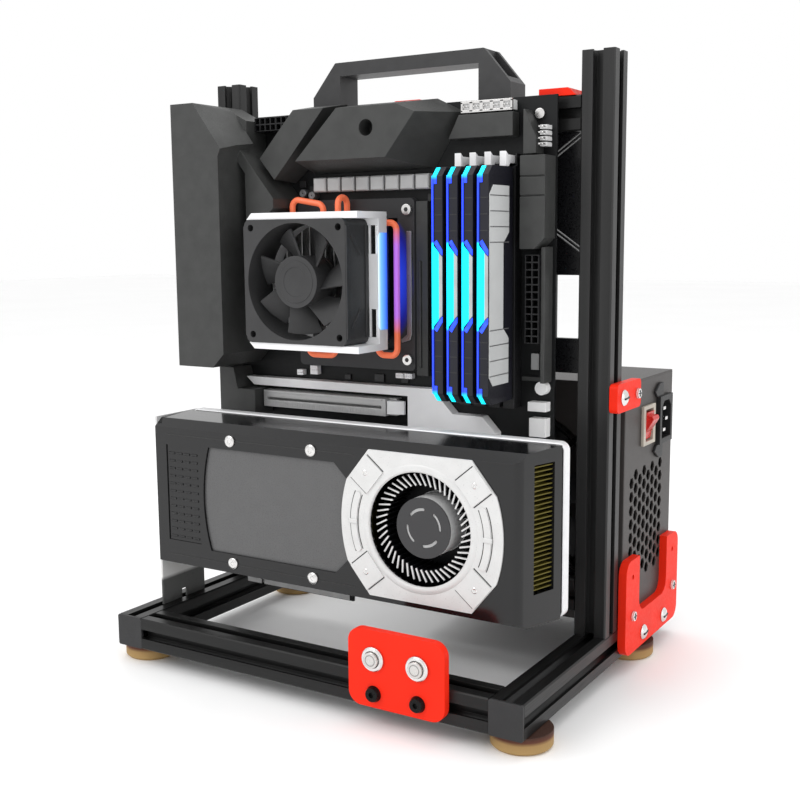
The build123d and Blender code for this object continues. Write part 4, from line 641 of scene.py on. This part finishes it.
# thin fins across the opening in the card's sloping end
FIN_COUNT, FIN_T, FIN_SET, FIN_DEEP = 27, 0.7, 1.2, 12.4
FIN_FRONT, FIN_BACK, FIN_LOW, FIN_TOP = 11.4, 27.2, 19.0, 8.5
END_SLOPE = 9.4
shroud_depth = shroud_high.y - shroud_low.y
fin_root = shroud_high.x - FIN_DEEP


def fin_tip(back):
    """Frame x of a fin's tip at a depth behind the card's face."""
    return shroud_high.x - END_SLOPE * (1 - back / shroud_depth) - FIN_SET


fin_outline = (
    (fin_tip(FIN_FRONT), shroud_low.y + FIN_FRONT), (fin_tip(FIN_BACK), shroud_low.y + FIN_BACK),
    (fin_root, shroud_low.y + FIN_BACK), (fin_root, shroud_low.y + FIN_FRONT),
)
fin_pitch = (shroud_high.z - FIN_TOP - shroud_low.z - FIN_LOW) / FIN_COUNT
fins = Maker()
for fin in range(FIN_COUNT):
    z = shroud_low.z + FIN_LOW + (fin + 0.5) * fin_pitch
    fins.prism(fin_outline, z, z + FIN_T, "z")
fins.piece("card_end_fins", "olive_fins", "sink_metal", bevel=0.1)

# heads of the four card screws, with a round recess
CARD_SCREWS = ((62.0, 10.0), (123.0, 10.0), (62.0, 87.0), (123.0, 87.0))
CARD_HEAD_UP = 1.2
CARD_HEAD_PROFILE = (
    (1.0, 0.5), (1.15, -0.25), (2.2, -0.5), (3.2, -0.15), (3.6, 0.4), (3.6, 1.2), (1.0, 1.2),
)
heads = Maker()
for across, up in CARD_SCREWS:
    head_at = (shroud_low.x + across, shroud_low.z + up)
    heads.turned(head_at, deep(CARD_HEAD_PROFILE, shroud_low.y - CARD_HEAD_UP), steps=28)
heads.piece("card_screw_heads", "silver_steel", "silver_steel", bevel=0.05)

# pale strips on both faces of the card's edge connector
edge_low, edge_high = span("card_board")
EDGE_LEFT, EDGE_KEY, EDGE_GAP, EDGE_RIGHT = 45.5, 57.0, 2.0, 126.0
EDGE_LOW, EDGE_UP, EDGE_BOARD_T, EDGE_FILM = 0.4, 7.0, 1.6, 0.15
edge_strips = Maker()
for start, end in ((EDGE_LEFT, EDGE_KEY), (EDGE_KEY + EDGE_GAP, EDGE_RIGHT)):
    for y in (edge_high.y, edge_high.y - EDGE_BOARD_T - EDGE_FILM):
        edge_strips.brick(
            edge_low.x + start, edge_low.x + end, y, y + EDGE_FILM, edge_low.z + EDGE_LOW, edge_low.z + EDGE_UP,
        )
edge_strips.piece("card_edge_strips", "pale_grey", "port_metal", bevel=0.04)

# memory: pale strips beside the lit centres, blue wedges, lit tips and dark lines on each module
memory_low, memory_high = span("memory_modules")
memory_mid = (memory_low.z + memory_high.z) / 2
memory_front = memory_low.y
MEMORY_PITCH, MEMORY_COUNT, SPREADER_T = 9.65, 4, 6.6
MEMORY_ROOT = 0.1
STRIP_OUTLINE, STRIP_UP = ((4.5, -18.7), (SPREADER_T, -16.5), (SPREADER_T, 16.5), (4.5, 18.7)), 0.6
WEDGE_OUTLINE = ((1.2, 24.6), (4.5, 19.4), (SPREADER_T, 17.2), (SPREADER_T, 20.4), (3.0, 26.0))
WEDGE_UP = 0.5
TIP_PROFILE = (
    (-0.45, -9.5), (-0.45, -5.0), (4.2, -0.3), (5.2, -0.3), (5.2, -1.0), (0.2, -5.6), (0.2, -9.5),
)
TIP_LEFT, TIP_RIGHT = 0.4, 3.0
GROOVE_COUNT, GROOVE_FIRST, GROOVE_PITCH, GROOVE_HALF = 3, 31.0, 9.0, 0.25
GROOVE_LEFT, GROOVE_RIGHT, GROOVE_UP = 1.6, 0.4, 0.15
strips = Maker()
wedges = Maker()
tips = Maker()
grooves = Maker()
for module in range(MEMORY_COUNT):
    x0 = memory_low.x + module * MEMORY_PITCH
    x1 = x0 + SPREADER_T
    strips.prism(placed(STRIP_OUTLINE, x0, memory_mid), memory_front - STRIP_UP, memory_front + MEMORY_ROOT)
    for up in (-1, 1):
        wedges.prism(
            placed(WEDGE_OUTLINE, x0, memory_mid, up), memory_front - WEDGE_UP, memory_front + MEMORY_ROOT,
        )
        for line in range(GROOVE_COUNT):
            z = memory_mid + up * (GROOVE_FIRST + GROOVE_PITCH * line)
            grooves.brick(
                x0 + GROOVE_LEFT, x1 - GROOVE_RIGHT, memory_front - GROOVE_UP, memory_front + MEMORY_ROOT,
                z - GROOVE_HALF, z + GROOVE_HALF,
            )
    for end, up in ((memory_high.z, 1), (memory_low.z, -1)):
        tips.prism(placed(TIP_PROFILE, memory_front, end, up), x0 + TIP_LEFT, x0 + TIP_RIGHT, "x")
strips.piece("memory_strips", "pale_grey", "white_plastic")
wedges.piece("memory_wedges", "blue_light", "light_bar", bevel=0.08)
tips.piece("memory_tips", "light_bar", "light_bar", bevel=0.1)
grooves.piece("memory_lines", "seam", "spreader", bevel=0.03)

# memory: pale plate with grey lines on the outer side of the last module
SIDE_OUTLINE = (
    (5.2, 56.0), (25.0, 56.0), (25.0, 30.0), (18.0, 24.0), (18.0, 0.0), (0.8, 0.0), (0.8, 51.0),
)
SIDE_T = 0.5
SIDE_LINES, SIDE_LINE_FIRST, SIDE_LINE_PITCH, SIDE_LINE_HALF = 4, 24.5, 8.6, 0.3
SIDE_LINE_ROOT, SIDE_LINE_UP, SIDE_LINE_FRONT, SIDE_LINE_BACK = 0.45, 0.6, 1.0, 24.8
side_x = memory_high.x
side_plate = Maker()
side_lines = Maker()
for up in (-1, 1):
    side_plate.prism(placed(SIDE_OUTLINE, memory_front, memory_mid, up), side_x, side_x + SIDE_T, "x")
    for line in range(SIDE_LINES):
        z = memory_mid + up * (SIDE_LINE_FIRST + SIDE_LINE_PITCH * line)
        side_lines.brick(
            side_x + SIDE_LINE_ROOT, side_x + SIDE_LINE_UP,
            memory_front + SIDE_LINE_FRONT, memory_front + SIDE_LINE_BACK,
            z - SIDE_LINE_HALF, z + SIDE_LINE_HALF,
        )
side_plate.piece("memory_side", "memory_pale", "white_plastic", bevel=0.2)
side_lines.piece("memory_side_lines", "grey_metal", "white_plastic", bevel=0.03)

# cooler: ribs on the fan's sides, vents and light of the white housing, ring on the hub
fan_low, fan_high = span("cooler_fan_frame")
fan_mid_z = (fan_low.z + fan_high.z) / 2
RIB_OUTLINE = ((5.0, 27.0), (7.0, 28.0), (15.5, 17.5), (15.0, 15.5))
RIB_ROOT, RIB_UP = 0.2, 0.7
FLANGE_T, FLANGE_IN, FLANGE_UP, FLANGE_SHORT = 3.0, 0.2, 0.9, 4.0
ribs = Maker()
for up in (-1, 1):
    ribs.prism(
        placed(RIB_OUTLINE, fan_low.y, fan_mid_z, up), fan_high.x - RIB_ROOT, fan_high.x + RIB_UP, "x",
    )
for y in (fan_low.y + FLANGE_IN, fan_high.y - FLANGE_IN - FLANGE_T):
    for x0, x1 in (
        (fan_high.x - RIB_ROOT, fan_high.x + FLANGE_UP), (fan_low.x - FLANGE_UP, fan_low.x + RIB_ROOT),
    ):
        ribs.brick(x0, x1, y, y + FLANGE_T, fan_low.z + FLANGE_SHORT, fan_high.z - FLANGE_SHORT)
ribs.piece("cooler_fan_ribs", "fan_plastic", "fan_plastic", bevel=0.35)

VENT_W, VENT_H, VENT_IN, VENT_DOWN = 4.0, 17.0, 2.0, 8.0
VENT_RIM_W, VENT_RIM_UP, VENT_RIM_ROOT = 0.7, 0.9, 0.1
VENT_BACK_FROM, VENT_BACK_TO = 0.8, 1.2
vent_x1 = housing_high.x - VENT_IN
vent_face = fan_high.y
vent_rims = Maker()
vent_backs = Maker()
for vent_z1 in (housing_high.z - VENT_DOWN, housing_low.z + VENT_DOWN + VENT_H):
    vent_z0 = vent_z1 - VENT_H
    for x in (vent_x1 - VENT_W - VENT_RIM_W, vent_x1):
        vent_rims.brick(
            x, x + VENT_RIM_W, vent_face - VENT_RIM_UP, vent_face + VENT_RIM_ROOT, vent_z0, vent_z1,
        )
    vent_backs.brick(
        vent_x1 - VENT_W, vent_x1, vent_face + VENT_BACK_FROM, vent_face + VENT_BACK_TO, vent_z0, vent_z1,
    )
vent_rims.piece("cooler_vent_rims", "white_plastic", "white_plastic")
vent_backs.piece("cooler_vent_backs", "panel", "black_plastic", bevel=0.05)

SIDE_LIGHT_HALF, SIDE_LIGHT_CUT, SIDE_LIGHT_IN = 29.0, 2.0, 0.3
SIDE_LIGHT_ROOT, SIDE_LIGHT_UP = 0.1, 0.3
SIDE_LIGHT_OUTLINE = (
    (-SIDE_LIGHT_W, SIDE_LIGHT_CUT - SIDE_LIGHT_HALF), (SIDE_LIGHT_CUT - SIDE_LIGHT_W, -SIDE_LIGHT_HALF),
    (-SIDE_LIGHT_IN, -SIDE_LIGHT_HALF), (-SIDE_LIGHT_IN, SIDE_LIGHT_HALF),
    (SIDE_LIGHT_CUT - SIDE_LIGHT_W, SIDE_LIGHT_HALF), (-SIDE_LIGHT_W, SIDE_LIGHT_HALF - SIDE_LIGHT_CUT),
)
side_light = Maker()
side_light.prism(
    placed(SIDE_LIGHT_OUTLINE, housing_high.y, cool_middle.z),
    housing_high.x - SIDE_LIGHT_ROOT, housing_high.x + SIDE_LIGHT_UP, "x",
)
side_light.piece("cooler_side_light", "side_light", "light_bar", bevel=0.1)

HUB_PROFILE = ((9.0, -0.25), (12.6, -0.25), (12.8, 0.05), (8.8, 0.05))
rotor_at = ((fan_low.x + fan_high.x) / 2, fan_mid_z)
rotor_front = span("cooler_fan_rotor")[0].y
hub = Maker()
hub.turned(rotor_at, deep(HUB_PROFILE, rotor_front), steps=48)
hub.piece("cooler_hub_ring", "fan_plastic", "fan_plastic", bevel=0.05, body="cooler_fan_rotor")

# lever of the processor socket
LEVER_W, LEVER_T, LEVER_IN, LEVER_LOW, LEVER_DOWN = 3.6, 1.4, 3.2, 23.0, 20.0
LEVER_FOOT = ((LEVER_W / 2, 0.0), (0.6, -3.6), (-5.5, -5.6), (-6.2, -3.4), (-LEVER_W / 2, -0.4))
lever_x = bracket_high.x - LEVER_IN
lever_top = bracket_high.z - LEVER_DOWN
lever = Maker()
lever.prism(
    [
        (lever_x - LEVER_W / 2, lever_top), (lever_x + LEVER_W / 2, lever_top),
        *placed(LEVER_FOOT, lever_x, bracket_low.z + LEVER_LOW),
    ],
    bracket_low.y - LEVER_T, bracket_low.y,
)
lever.piece("socket_lever", "grey_metal", "silver_steel", bevel=0.3)

# dark hexagons on the heads of the bracket's two screws
HEAD_UP, DRIVE_R, DRIVE_UP, DRIVE_ROOT = 2.5, 1.5, 0.08, 0.2
SCREW_IN, SCREW_DOWN = 4.5, 7.0
head_front = bracket_low.y - HEAD_UP
drives = Maker()
for z in (bracket_high.z - SCREW_DOWN, bracket_low.z + SCREW_DOWN):
    hexagon = circle((bracket_high.x - SCREW_IN, z), DRIVE_R, range(0, 360, 60))
    drives.prism(hexagon, head_front - DRIVE_UP, head_front + DRIVE_ROOT)
drives.piece("socket_screw_drives", "seam", "silver_steel", bevel=0.03)

# board: small chips, cans and sockets
board_low, board_high = span("mainboard")
board_face = board_low.y
SUNK = 0.05


def on_board(across, down):
    """Frame x and z of a point given from the board's left edge and down from its top."""
    return board_low.x + across, board_high.z - down


# across, down, width, height and rise of each chip
CHIPS = (
    (64.0, 42.5, 5.0, 4.0, 1.6), (72.5, 46.0, 3.0, 5.0, 2.2), (160.0, 53.0, 4.5, 4.5, 1.4),
    (168.0, 47.5, 5.5, 3.5, 1.2), (97.0, 166.5, 4.5, 3.4, 1.4), (120.0, 165.0, 7.0, 5.0, 1.3),
    (140.0, 166.0, 5.0, 3.5, 1.2),
)
chips = Maker()
for across, down, wide, tall, rise in CHIPS:
    x, z = on_board(across, down)
    chips.brick(x, x + wide, board_face - rise, board_face + SUNK, z - tall, z)
chips.piece("board_chips", "part_black", "circuit_board", bevel=0.2)

CANS = ((69.0, 50.5), (76.0, 52.0))
CAN_PROFILE = (
    (0.4, -5.4), (2.2, -5.5), (2.6, -5.1), (2.6, -1.2), (2.4, -0.8), (2.6, -0.4), (2.6, SUNK), (0.4, SUNK),
)
cans = Maker()
for across, down in CANS:
    cans.turned(on_board(across, down), deep(CAN_PROFILE, board_face), steps=20)
cans.piece("board_cans", "grey_metal", "circuit_board", bevel=0.05)

# across, down, width and height of each small socket, which has three pins
SMALL_SOCKETS = (
    (60.6, 165.0, 4.6, 3.6), (71.4, 161.8, 5.8, 5.8), (137.5, 163.2, 5.6, 3.2), (144.0, 163.2, 5.4, 3.2),
)
SOCKET_UP, SOCKET_PINS, SOCKET_PIN_START, SOCKET_PIN_SHARES = 4.0, 3, 0.7, 3.4
SOCKET_PIN_W, SOCKET_PIN_UP, SOCKET_PIN_ROOT = 0.6, 4.9, 3.9
sockets = Maker()
for across, down, wide, tall in SMALL_SOCKETS:
    x, z = on_board(across, down)
    sockets.brick(x, x + wide, board_face - SOCKET_UP, board_face + SUNK, z - tall, z)
    pin_z = z - tall / 2
    for pin in range(SOCKET_PINS):
        pin_x = x + (pin + SOCKET_PIN_START) * wide / SOCKET_PIN_SHARES
        sockets.brick(
            pin_x, pin_x + SOCKET_PIN_W, board_face - SOCKET_PIN_UP, board_face - SOCKET_PIN_ROOT,
            pin_z - SOCKET_PIN_W / 2, pin_z + SOCKET_PIN_W / 2,
        )
sockets.piece("board_small_sockets", "white_plastic", "white_plastic", bevel=0.12)

# dark bar with a ridge beside the socket, and the edging of the main power socket
BAR_LEFT, BAR_W, BAR_UP, BAR_BELOW, BAR_DOWN = 0.4, 8.4, 4.0, 3.0, 2.0
RIDGE_LEFT, RIDGE_W, RIDGE_UP, RIDGE_LOW, RIDGE_DOWN = 2.0, 2.0, 1.0, 2.0, 38.0
bar_x = bracket_high.x + BAR_LEFT
bar_front = board_face - BAR_UP
bars = Maker()
bars.brick(
    bar_x, bar_x + BAR_W, bar_front, board_face + SUNK, bracket_low.z - BAR_BELOW, bracket_high.z - BAR_DOWN,
)
bars.brick(
    bar_x + RIDGE_LEFT, bar_x + RIDGE_LEFT + RIDGE_W, bar_front - RIDGE_UP, bar_front + SUNK,
    bracket_low.z + RIDGE_LOW, bracket_high.z - RIDGE_DOWN,
)
bars.piece("socket_side_bar", "cover_dark", "cover_dark", bevel=0.5)

power_low, power_high = span("power_sockets")
EDGING_GAP, EDGING_T, EDGING_UP, EDGING_DROP, EDGING_RISE = 0.3, 2.6, 11.0, 23.0, 55.0
LEDGE_LEFT, LEDGE_RIGHT, LEDGE_UP = 15.0, 0.4, 3.0
edging_x = power_high.x + EDGING_GAP
edging_z = power_low.z - EDGING_DROP
edging = Maker()
edging.brick(
    edging_x, edging_x + EDGING_T, board_face - EDGING_UP, board_face + SUNK,
    edging_z, power_low.z + EDGING_RISE,
)
edging.brick(
    power_high.x - LEDGE_LEFT, power_high.x + LEDGE_RIGHT, board_face - LEDGE_UP, board_face + SUNK,
    edging_z, edging_z + EDGING_T,
)
edging.piece("power_socket_edging", "cover_dark", "cover_dark", bevel=0.4)

# frames and pins of the sockets along the board's top edge
TOP_HEADERS, TOP_PITCH, TOP_W, TOP_H, TOP_IN, TOP_DOWN = 5, 6.6, 5.6, 5.6, 56.8, 1.7
RIM, RIM_IN, RIM_OUT, RIM_UP, RIM_ROOT = 0.6, 1.0, 0.5, 1.2, 0.4
TOP_PINS, TOP_PIN_LEFT, TOP_PIN_PITCH, TOP_PIN_W = 2, 1.4, 2.0, 0.7
TOP_PIN_UP, TOP_PIN_ROOT = 2.4, 0.2
header_front = headers_low.y
header_z1 = board_high.z - TOP_DOWN
header_z0 = header_z1 - TOP_H
header_mid = header_z1 - TOP_H / 2
links = Maker()
for step in range(TOP_HEADERS):
    x0 = board_high.x - TOP_IN + step * TOP_PITCH
    x1 = x0 + TOP_W
    for rim_x0, rim_x1, rim_z0, rim_z1 in (
        (x0 - RIM, x1 + RIM, header_z1 - RIM_IN, header_z1 + RIM_OUT),
        (x0 - RIM, x1 + RIM, header_z0 - RIM_OUT, header_z0 + RIM_IN),
        (x0 - RIM, x0 + RIM, header_z0, header_z1),
        (x1 - RIM, x1 + RIM, header_z0, header_z1),
    ):
        links.brick(rim_x0, rim_x1, header_front - RIM_UP, header_front + RIM_ROOT, rim_z0, rim_z1)
    for pin in range(TOP_PINS):
        pin_x = x0 + TOP_PIN_LEFT + pin * TOP_PIN_PITCH
        links.brick(
            pin_x, pin_x + TOP_PIN_W, header_front - TOP_PIN_UP, header_front + TOP_PIN_ROOT,
            header_mid - TOP_PIN_W / 2, header_mid + TOP_PIN_W / 2,
        )
links.piece("board_header_frames", "silver_steel", "port_metal")

# pins of the sockets at the board's right edge
PIN_ROWS, PIN_ROW_PITCH, PIN_ROW_H, PIN_DOWN = 4, 3.2, 2.4, 17.0
PIN_COLUMNS, PIN_COLUMN_PITCH, PIN_IN = 2, 2.2, 6.7
PIN_W, PIN_UP, PIN_ROOT = 0.8, 3.6, 0.1
pins = Maker()
for row in range(PIN_ROWS):
    z = board_high.z - PIN_DOWN - row * PIN_ROW_PITCH - PIN_ROW_H / 2
    for pin in range(PIN_COLUMNS):
        x = board_high.x - PIN_IN + pin * PIN_COLUMN_PITCH
        pins.brick(
            x, x + PIN_W, header_front - PIN_UP, header_front + PIN_ROOT, z - PIN_W / 2, z + PIN_W / 2,
        )
pins.piece("board_header_pins", "silver_steel", "port_metal", bevel=0.08)

# short ribs and one long rib on the card slot's steel shell
slot_low, slot_high = span("pcie_slot")
COMB_TEETH, COMB_LEFT, COMB_SPARE, COMB_SHARE = 42, 5.0, 18.0, 0.5
COMB_UP, COMB_ROOT, COMB_LOW, COMB_HIGH = 0.25, 0.1, 1.2, 4.2
LONG_LEFT, LONG_RIGHT, LONG_UP, LONG_LOW, LONG_HIGH = 2.0, 8.0, 0.5, 1.4, 0.2
comb_pitch = (slot_high.x - slot_low.x - COMB_SPARE) / COMB_TEETH
comb = Maker()
for tooth in range(COMB_TEETH):
    x = slot_low.x + COMB_LEFT + tooth * comb_pitch
    comb.brick(
        x, x + comb_pitch * COMB_SHARE, slot_low.y - COMB_UP, slot_low.y + COMB_ROOT,
        slot_low.z + COMB_LOW, slot_low.z + COMB_HIGH,
    )
comb.brick(
    slot_low.x + LONG_LEFT, slot_high.x - LONG_RIGHT, slot_low.y - LONG_UP, slot_low.y + COMB_ROOT,
    slot_high.z - LONG_LOW, slot_high.z - LONG_HIGH,
)
comb.piece("card_slot_ribs", "slot_metal", "slot_metal", bevel=0.08)

# power inlet: the ears of its flange and its three contacts
plug_low, plug_high = span("psu_inlet")
plug_mid = (plug_low + plug_high) / 2
EAR_OUTLINE = ((-6.0, 19.0), (2.0, 24.0), (9.0, 24.0), (9.0, 15.5), (-2.0, 15.5))
EAR_BACK, EAR_FRONT = 3.0, 1.2
ears = Maker()
for up in (-1, 1):
    ears.prism(
        placed(EAR_OUTLINE, plug_low.y, plug_mid.z, up), plug_high.x - EAR_BACK, plug_high.x - EAR_FRONT, "x",
    )
ears.piece("psu_inlet_ears", "black_plastic", "black_plastic", bevel=0.3)

CONTACTS = ((-2.0, -7.0), (2.0, 0.0), (-2.0, 7.0))
CONTACT_BACK, CONTACT_FRONT, CONTACT_HALF_W, CONTACT_HALF_H = 9.0, 0.6, 2.1, 1.1
contacts = Maker()
for y, z in placed(CONTACTS, plug_mid.y, plug_mid.z):
    contacts.brick(
        plug_high.x - CONTACT_BACK, plug_high.x - CONTACT_FRONT, y - CONTACT_HALF_W, y + CONTACT_HALF_W,
        z - CONTACT_HALF_H, z + CONTACT_HALF_H,
    )
contacts.piece("psu_inlet_contacts", "silver_steel", "port_metal", bevel=0.3)

# raised side of the power supply's rocker, measured from its lower and its upper end
rocker_low, rocker_high = span("psu_rocker")
ROCKER_LOWER = ((-6.0, 2.0), (-1.4, 5.0))
ROCKER_UPPER = ((3.6, -4.5), (2.8, -2.4), (-6.0, -1.6))
ROCKER_IN = 0.8
wedge = Maker()
wedge.prism(
    placed(ROCKER_LOWER, rocker_high.x, rocker_low.z) + placed(ROCKER_UPPER, rocker_high.x, rocker_high.z),
    rocker_low.y + ROCKER_IN, rocker_high.y - ROCKER_IN,
)
wedge.piece("psu_rocker_wedge", "red_plastic", "red_plastic", bevel=0.4, body="psu_rocker")

# domed and slotted heads on the plates' bolts and screws
upper_low, upper_high = span("psu_plate_upper")
lower_low, lower_high = span("psu_plate_lower")
bolt_low, bolt_high = span("plate_bolts")
plate_x = upper_high.x
BOLT_R, BOLT_SHANK_R, BOLT_GAP = 4.75, 2.4, 38.0
BOLT_BORE_R = 0.3
DOME_PROFILE = (
    (BOLT_SHANK_R, 0.0), (BOLT_R, 0.0), (BOLT_R, 0.7), (3.85, 1.8), (2.35, 2.4), (BOLT_BORE_R, 2.6),
)
SLIT_OUTLINE = ((-3.55, -0.9), (3.15, -0.3), (3.15, 0.7), (-3.55, 0.1))
SLIT_FROM, SLIT_TO = 1.9, 2.73
SCREW_PROFILE = ((0.2, 0.0), (3.15, 0.0), (3.15, 0.9), (2.35, 1.8), (0.2, 2.2))
CROSS_LONG, CROSS_SHORT, CROSS_FROM, CROSS_TO = 1.9, 0.35, 1.5, 2.26
bolt_places = (
    (bolt_low.y + BOLT_R, bolt_high.z - BOLT_R),
    (bolt_high.y - BOLT_R, bolt_low.z + BOLT_R),
    (bolt_high.y - BOLT_R - BOLT_GAP, bolt_low.z + BOLT_R),
)
UPPER_LAP, LOWER_ARM, LOWER_UP = 6.5, 23.0, 24.0
screw_places = (
    (upper_high.y - UPPER_LAP, (upper_low.z + upper_high.z) / 2),
    (lower_low.y + LOWER_ARM / 2, lower_low.z + LOWER_UP),
    (lower_high.y - LOWER_ARM / 2, lower_low.z + LOWER_UP),
)
shank = [(BOLT_BORE_R, bolt_low.x), (BOLT_SHANK_R, bolt_low.x)]
domes = Maker()
caps = Maker()
slits = Maker()
for y, z in bolt_places:
    domes.turned((y, z), shank + deep(DOME_PROFILE, plate_x), steps=40, axis="x")
    slits.prism(placed(SLIT_OUTLINE, y, z), plate_x + SLIT_FROM, plate_x + SLIT_TO, "x")
for y, z in screw_places:
    caps.turned((y, z), deep(SCREW_PROFILE, plate_x), steps=28, axis="x")
    for wide, tall in ((CROSS_LONG, CROSS_SHORT), (CROSS_SHORT, CROSS_LONG)):
        cross = rectangle(y - wide, y + wide, z - tall, z + tall)
        slits.prism(cross, plate_x + CROSS_FROM, plate_x + CROSS_TO, "x")
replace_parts(domes.piece("plate_bolt_domes", "silver_steel", "silver_steel", 0.08), "plate_bolts")
caps.piece("plate_screw_caps", "silver_steel", "silver_steel", bevel=0.05)
slits.piece("plate_screw_slots", "seam", "silver_steel", bevel=0.02)

# floor, backdrop and light
FLOOR_SIZE = 12.0
bpy.ops.mesh.primitive_plane_add(size=FLOOR_SIZE, location=(0, 0, 0))
floor = bpy.context.object
floor.name = "floor"
floor.data.materials.append(finish("pale floor", grey(0.975), rough=0.6, grain=40, depth=0.0, mottle=0.01))

world = bpy.data.worlds.new("studio")
bpy.context.scene.world = world
world.use_nodes = True
backdrop = world.node_tree.nodes["Background"]
backdrop.inputs["Color"].default_value = (1.0, 1.0, 1.0, 1.0)
backdrop.inputs["Strength"].default_value = 1.0

# name, place, width, height and power of each lamp, in metres and watts
LAMPS = (
    ("key light", (-0.7, -1.2, 1.3), 0.9, 0.9, 9.0),
    ("right light", (1.5, -0.4, 0.7), 0.8, 1.2, 3.0),
    ("top light", (0.1, 0.2, 1.6), 1.2, 1.0, 5.0),
)
LAMP_TARGET = Vector((0.0, 0.0, 0.2))
for name, place, wide, tall, power in LAMPS:
    lamp = bpy.data.lights.new(name, "AREA")
    lamp.shape = "RECTANGLE"
    lamp.size = wide
    lamp.size_y = tall
    lamp.energy = power
    holder = bpy.data.objects.new(name, lamp)
    bpy.context.scene.collection.objects.link(holder)
    holder.location = place
    away = Vector(place) - LAMP_TARGET
    holder.rotation_euler = away.to_track_quat("Z", "Y").to_euler()

# camera
facing = Vector((
    -math.sin(CAMERA_TURN) * math.cos(CAMERA_DIP),
    math.cos(CAMERA_TURN) * math.cos(CAMERA_DIP),
    -math.sin(CAMERA_DIP),
))
level_right = Vector((math.cos(CAMERA_TURN), math.sin(CAMERA_TURN), 0.0))
level_up = level_right.cross(facing)
right = math.cos(CAMERA_ROLL) * level_right + math.sin(CAMERA_ROLL) * level_up
up = -math.sin(CAMERA_ROLL) * level_right + math.cos(CAMERA_ROLL) * level_up
lens = bpy.data.cameras.new("photo camera")
lens.lens = CAMERA_LENS
lens.sensor_width = CAMERA_SENSOR
lens.clip_start = CAMERA_NEAR
camera = bpy.data.objects.new("photo camera", lens)
bpy.context.scene.collection.objects.link(camera)
camera_turn = Matrix((right, up, -facing)).transposed()
camera.matrix_world = Matrix.Translation(CAMERA_PLACE) @ camera_turn.to_4x4()
bpy.context.scene.camera = camera
bpy.context.scene.view_settings.view_transform = "Standard"
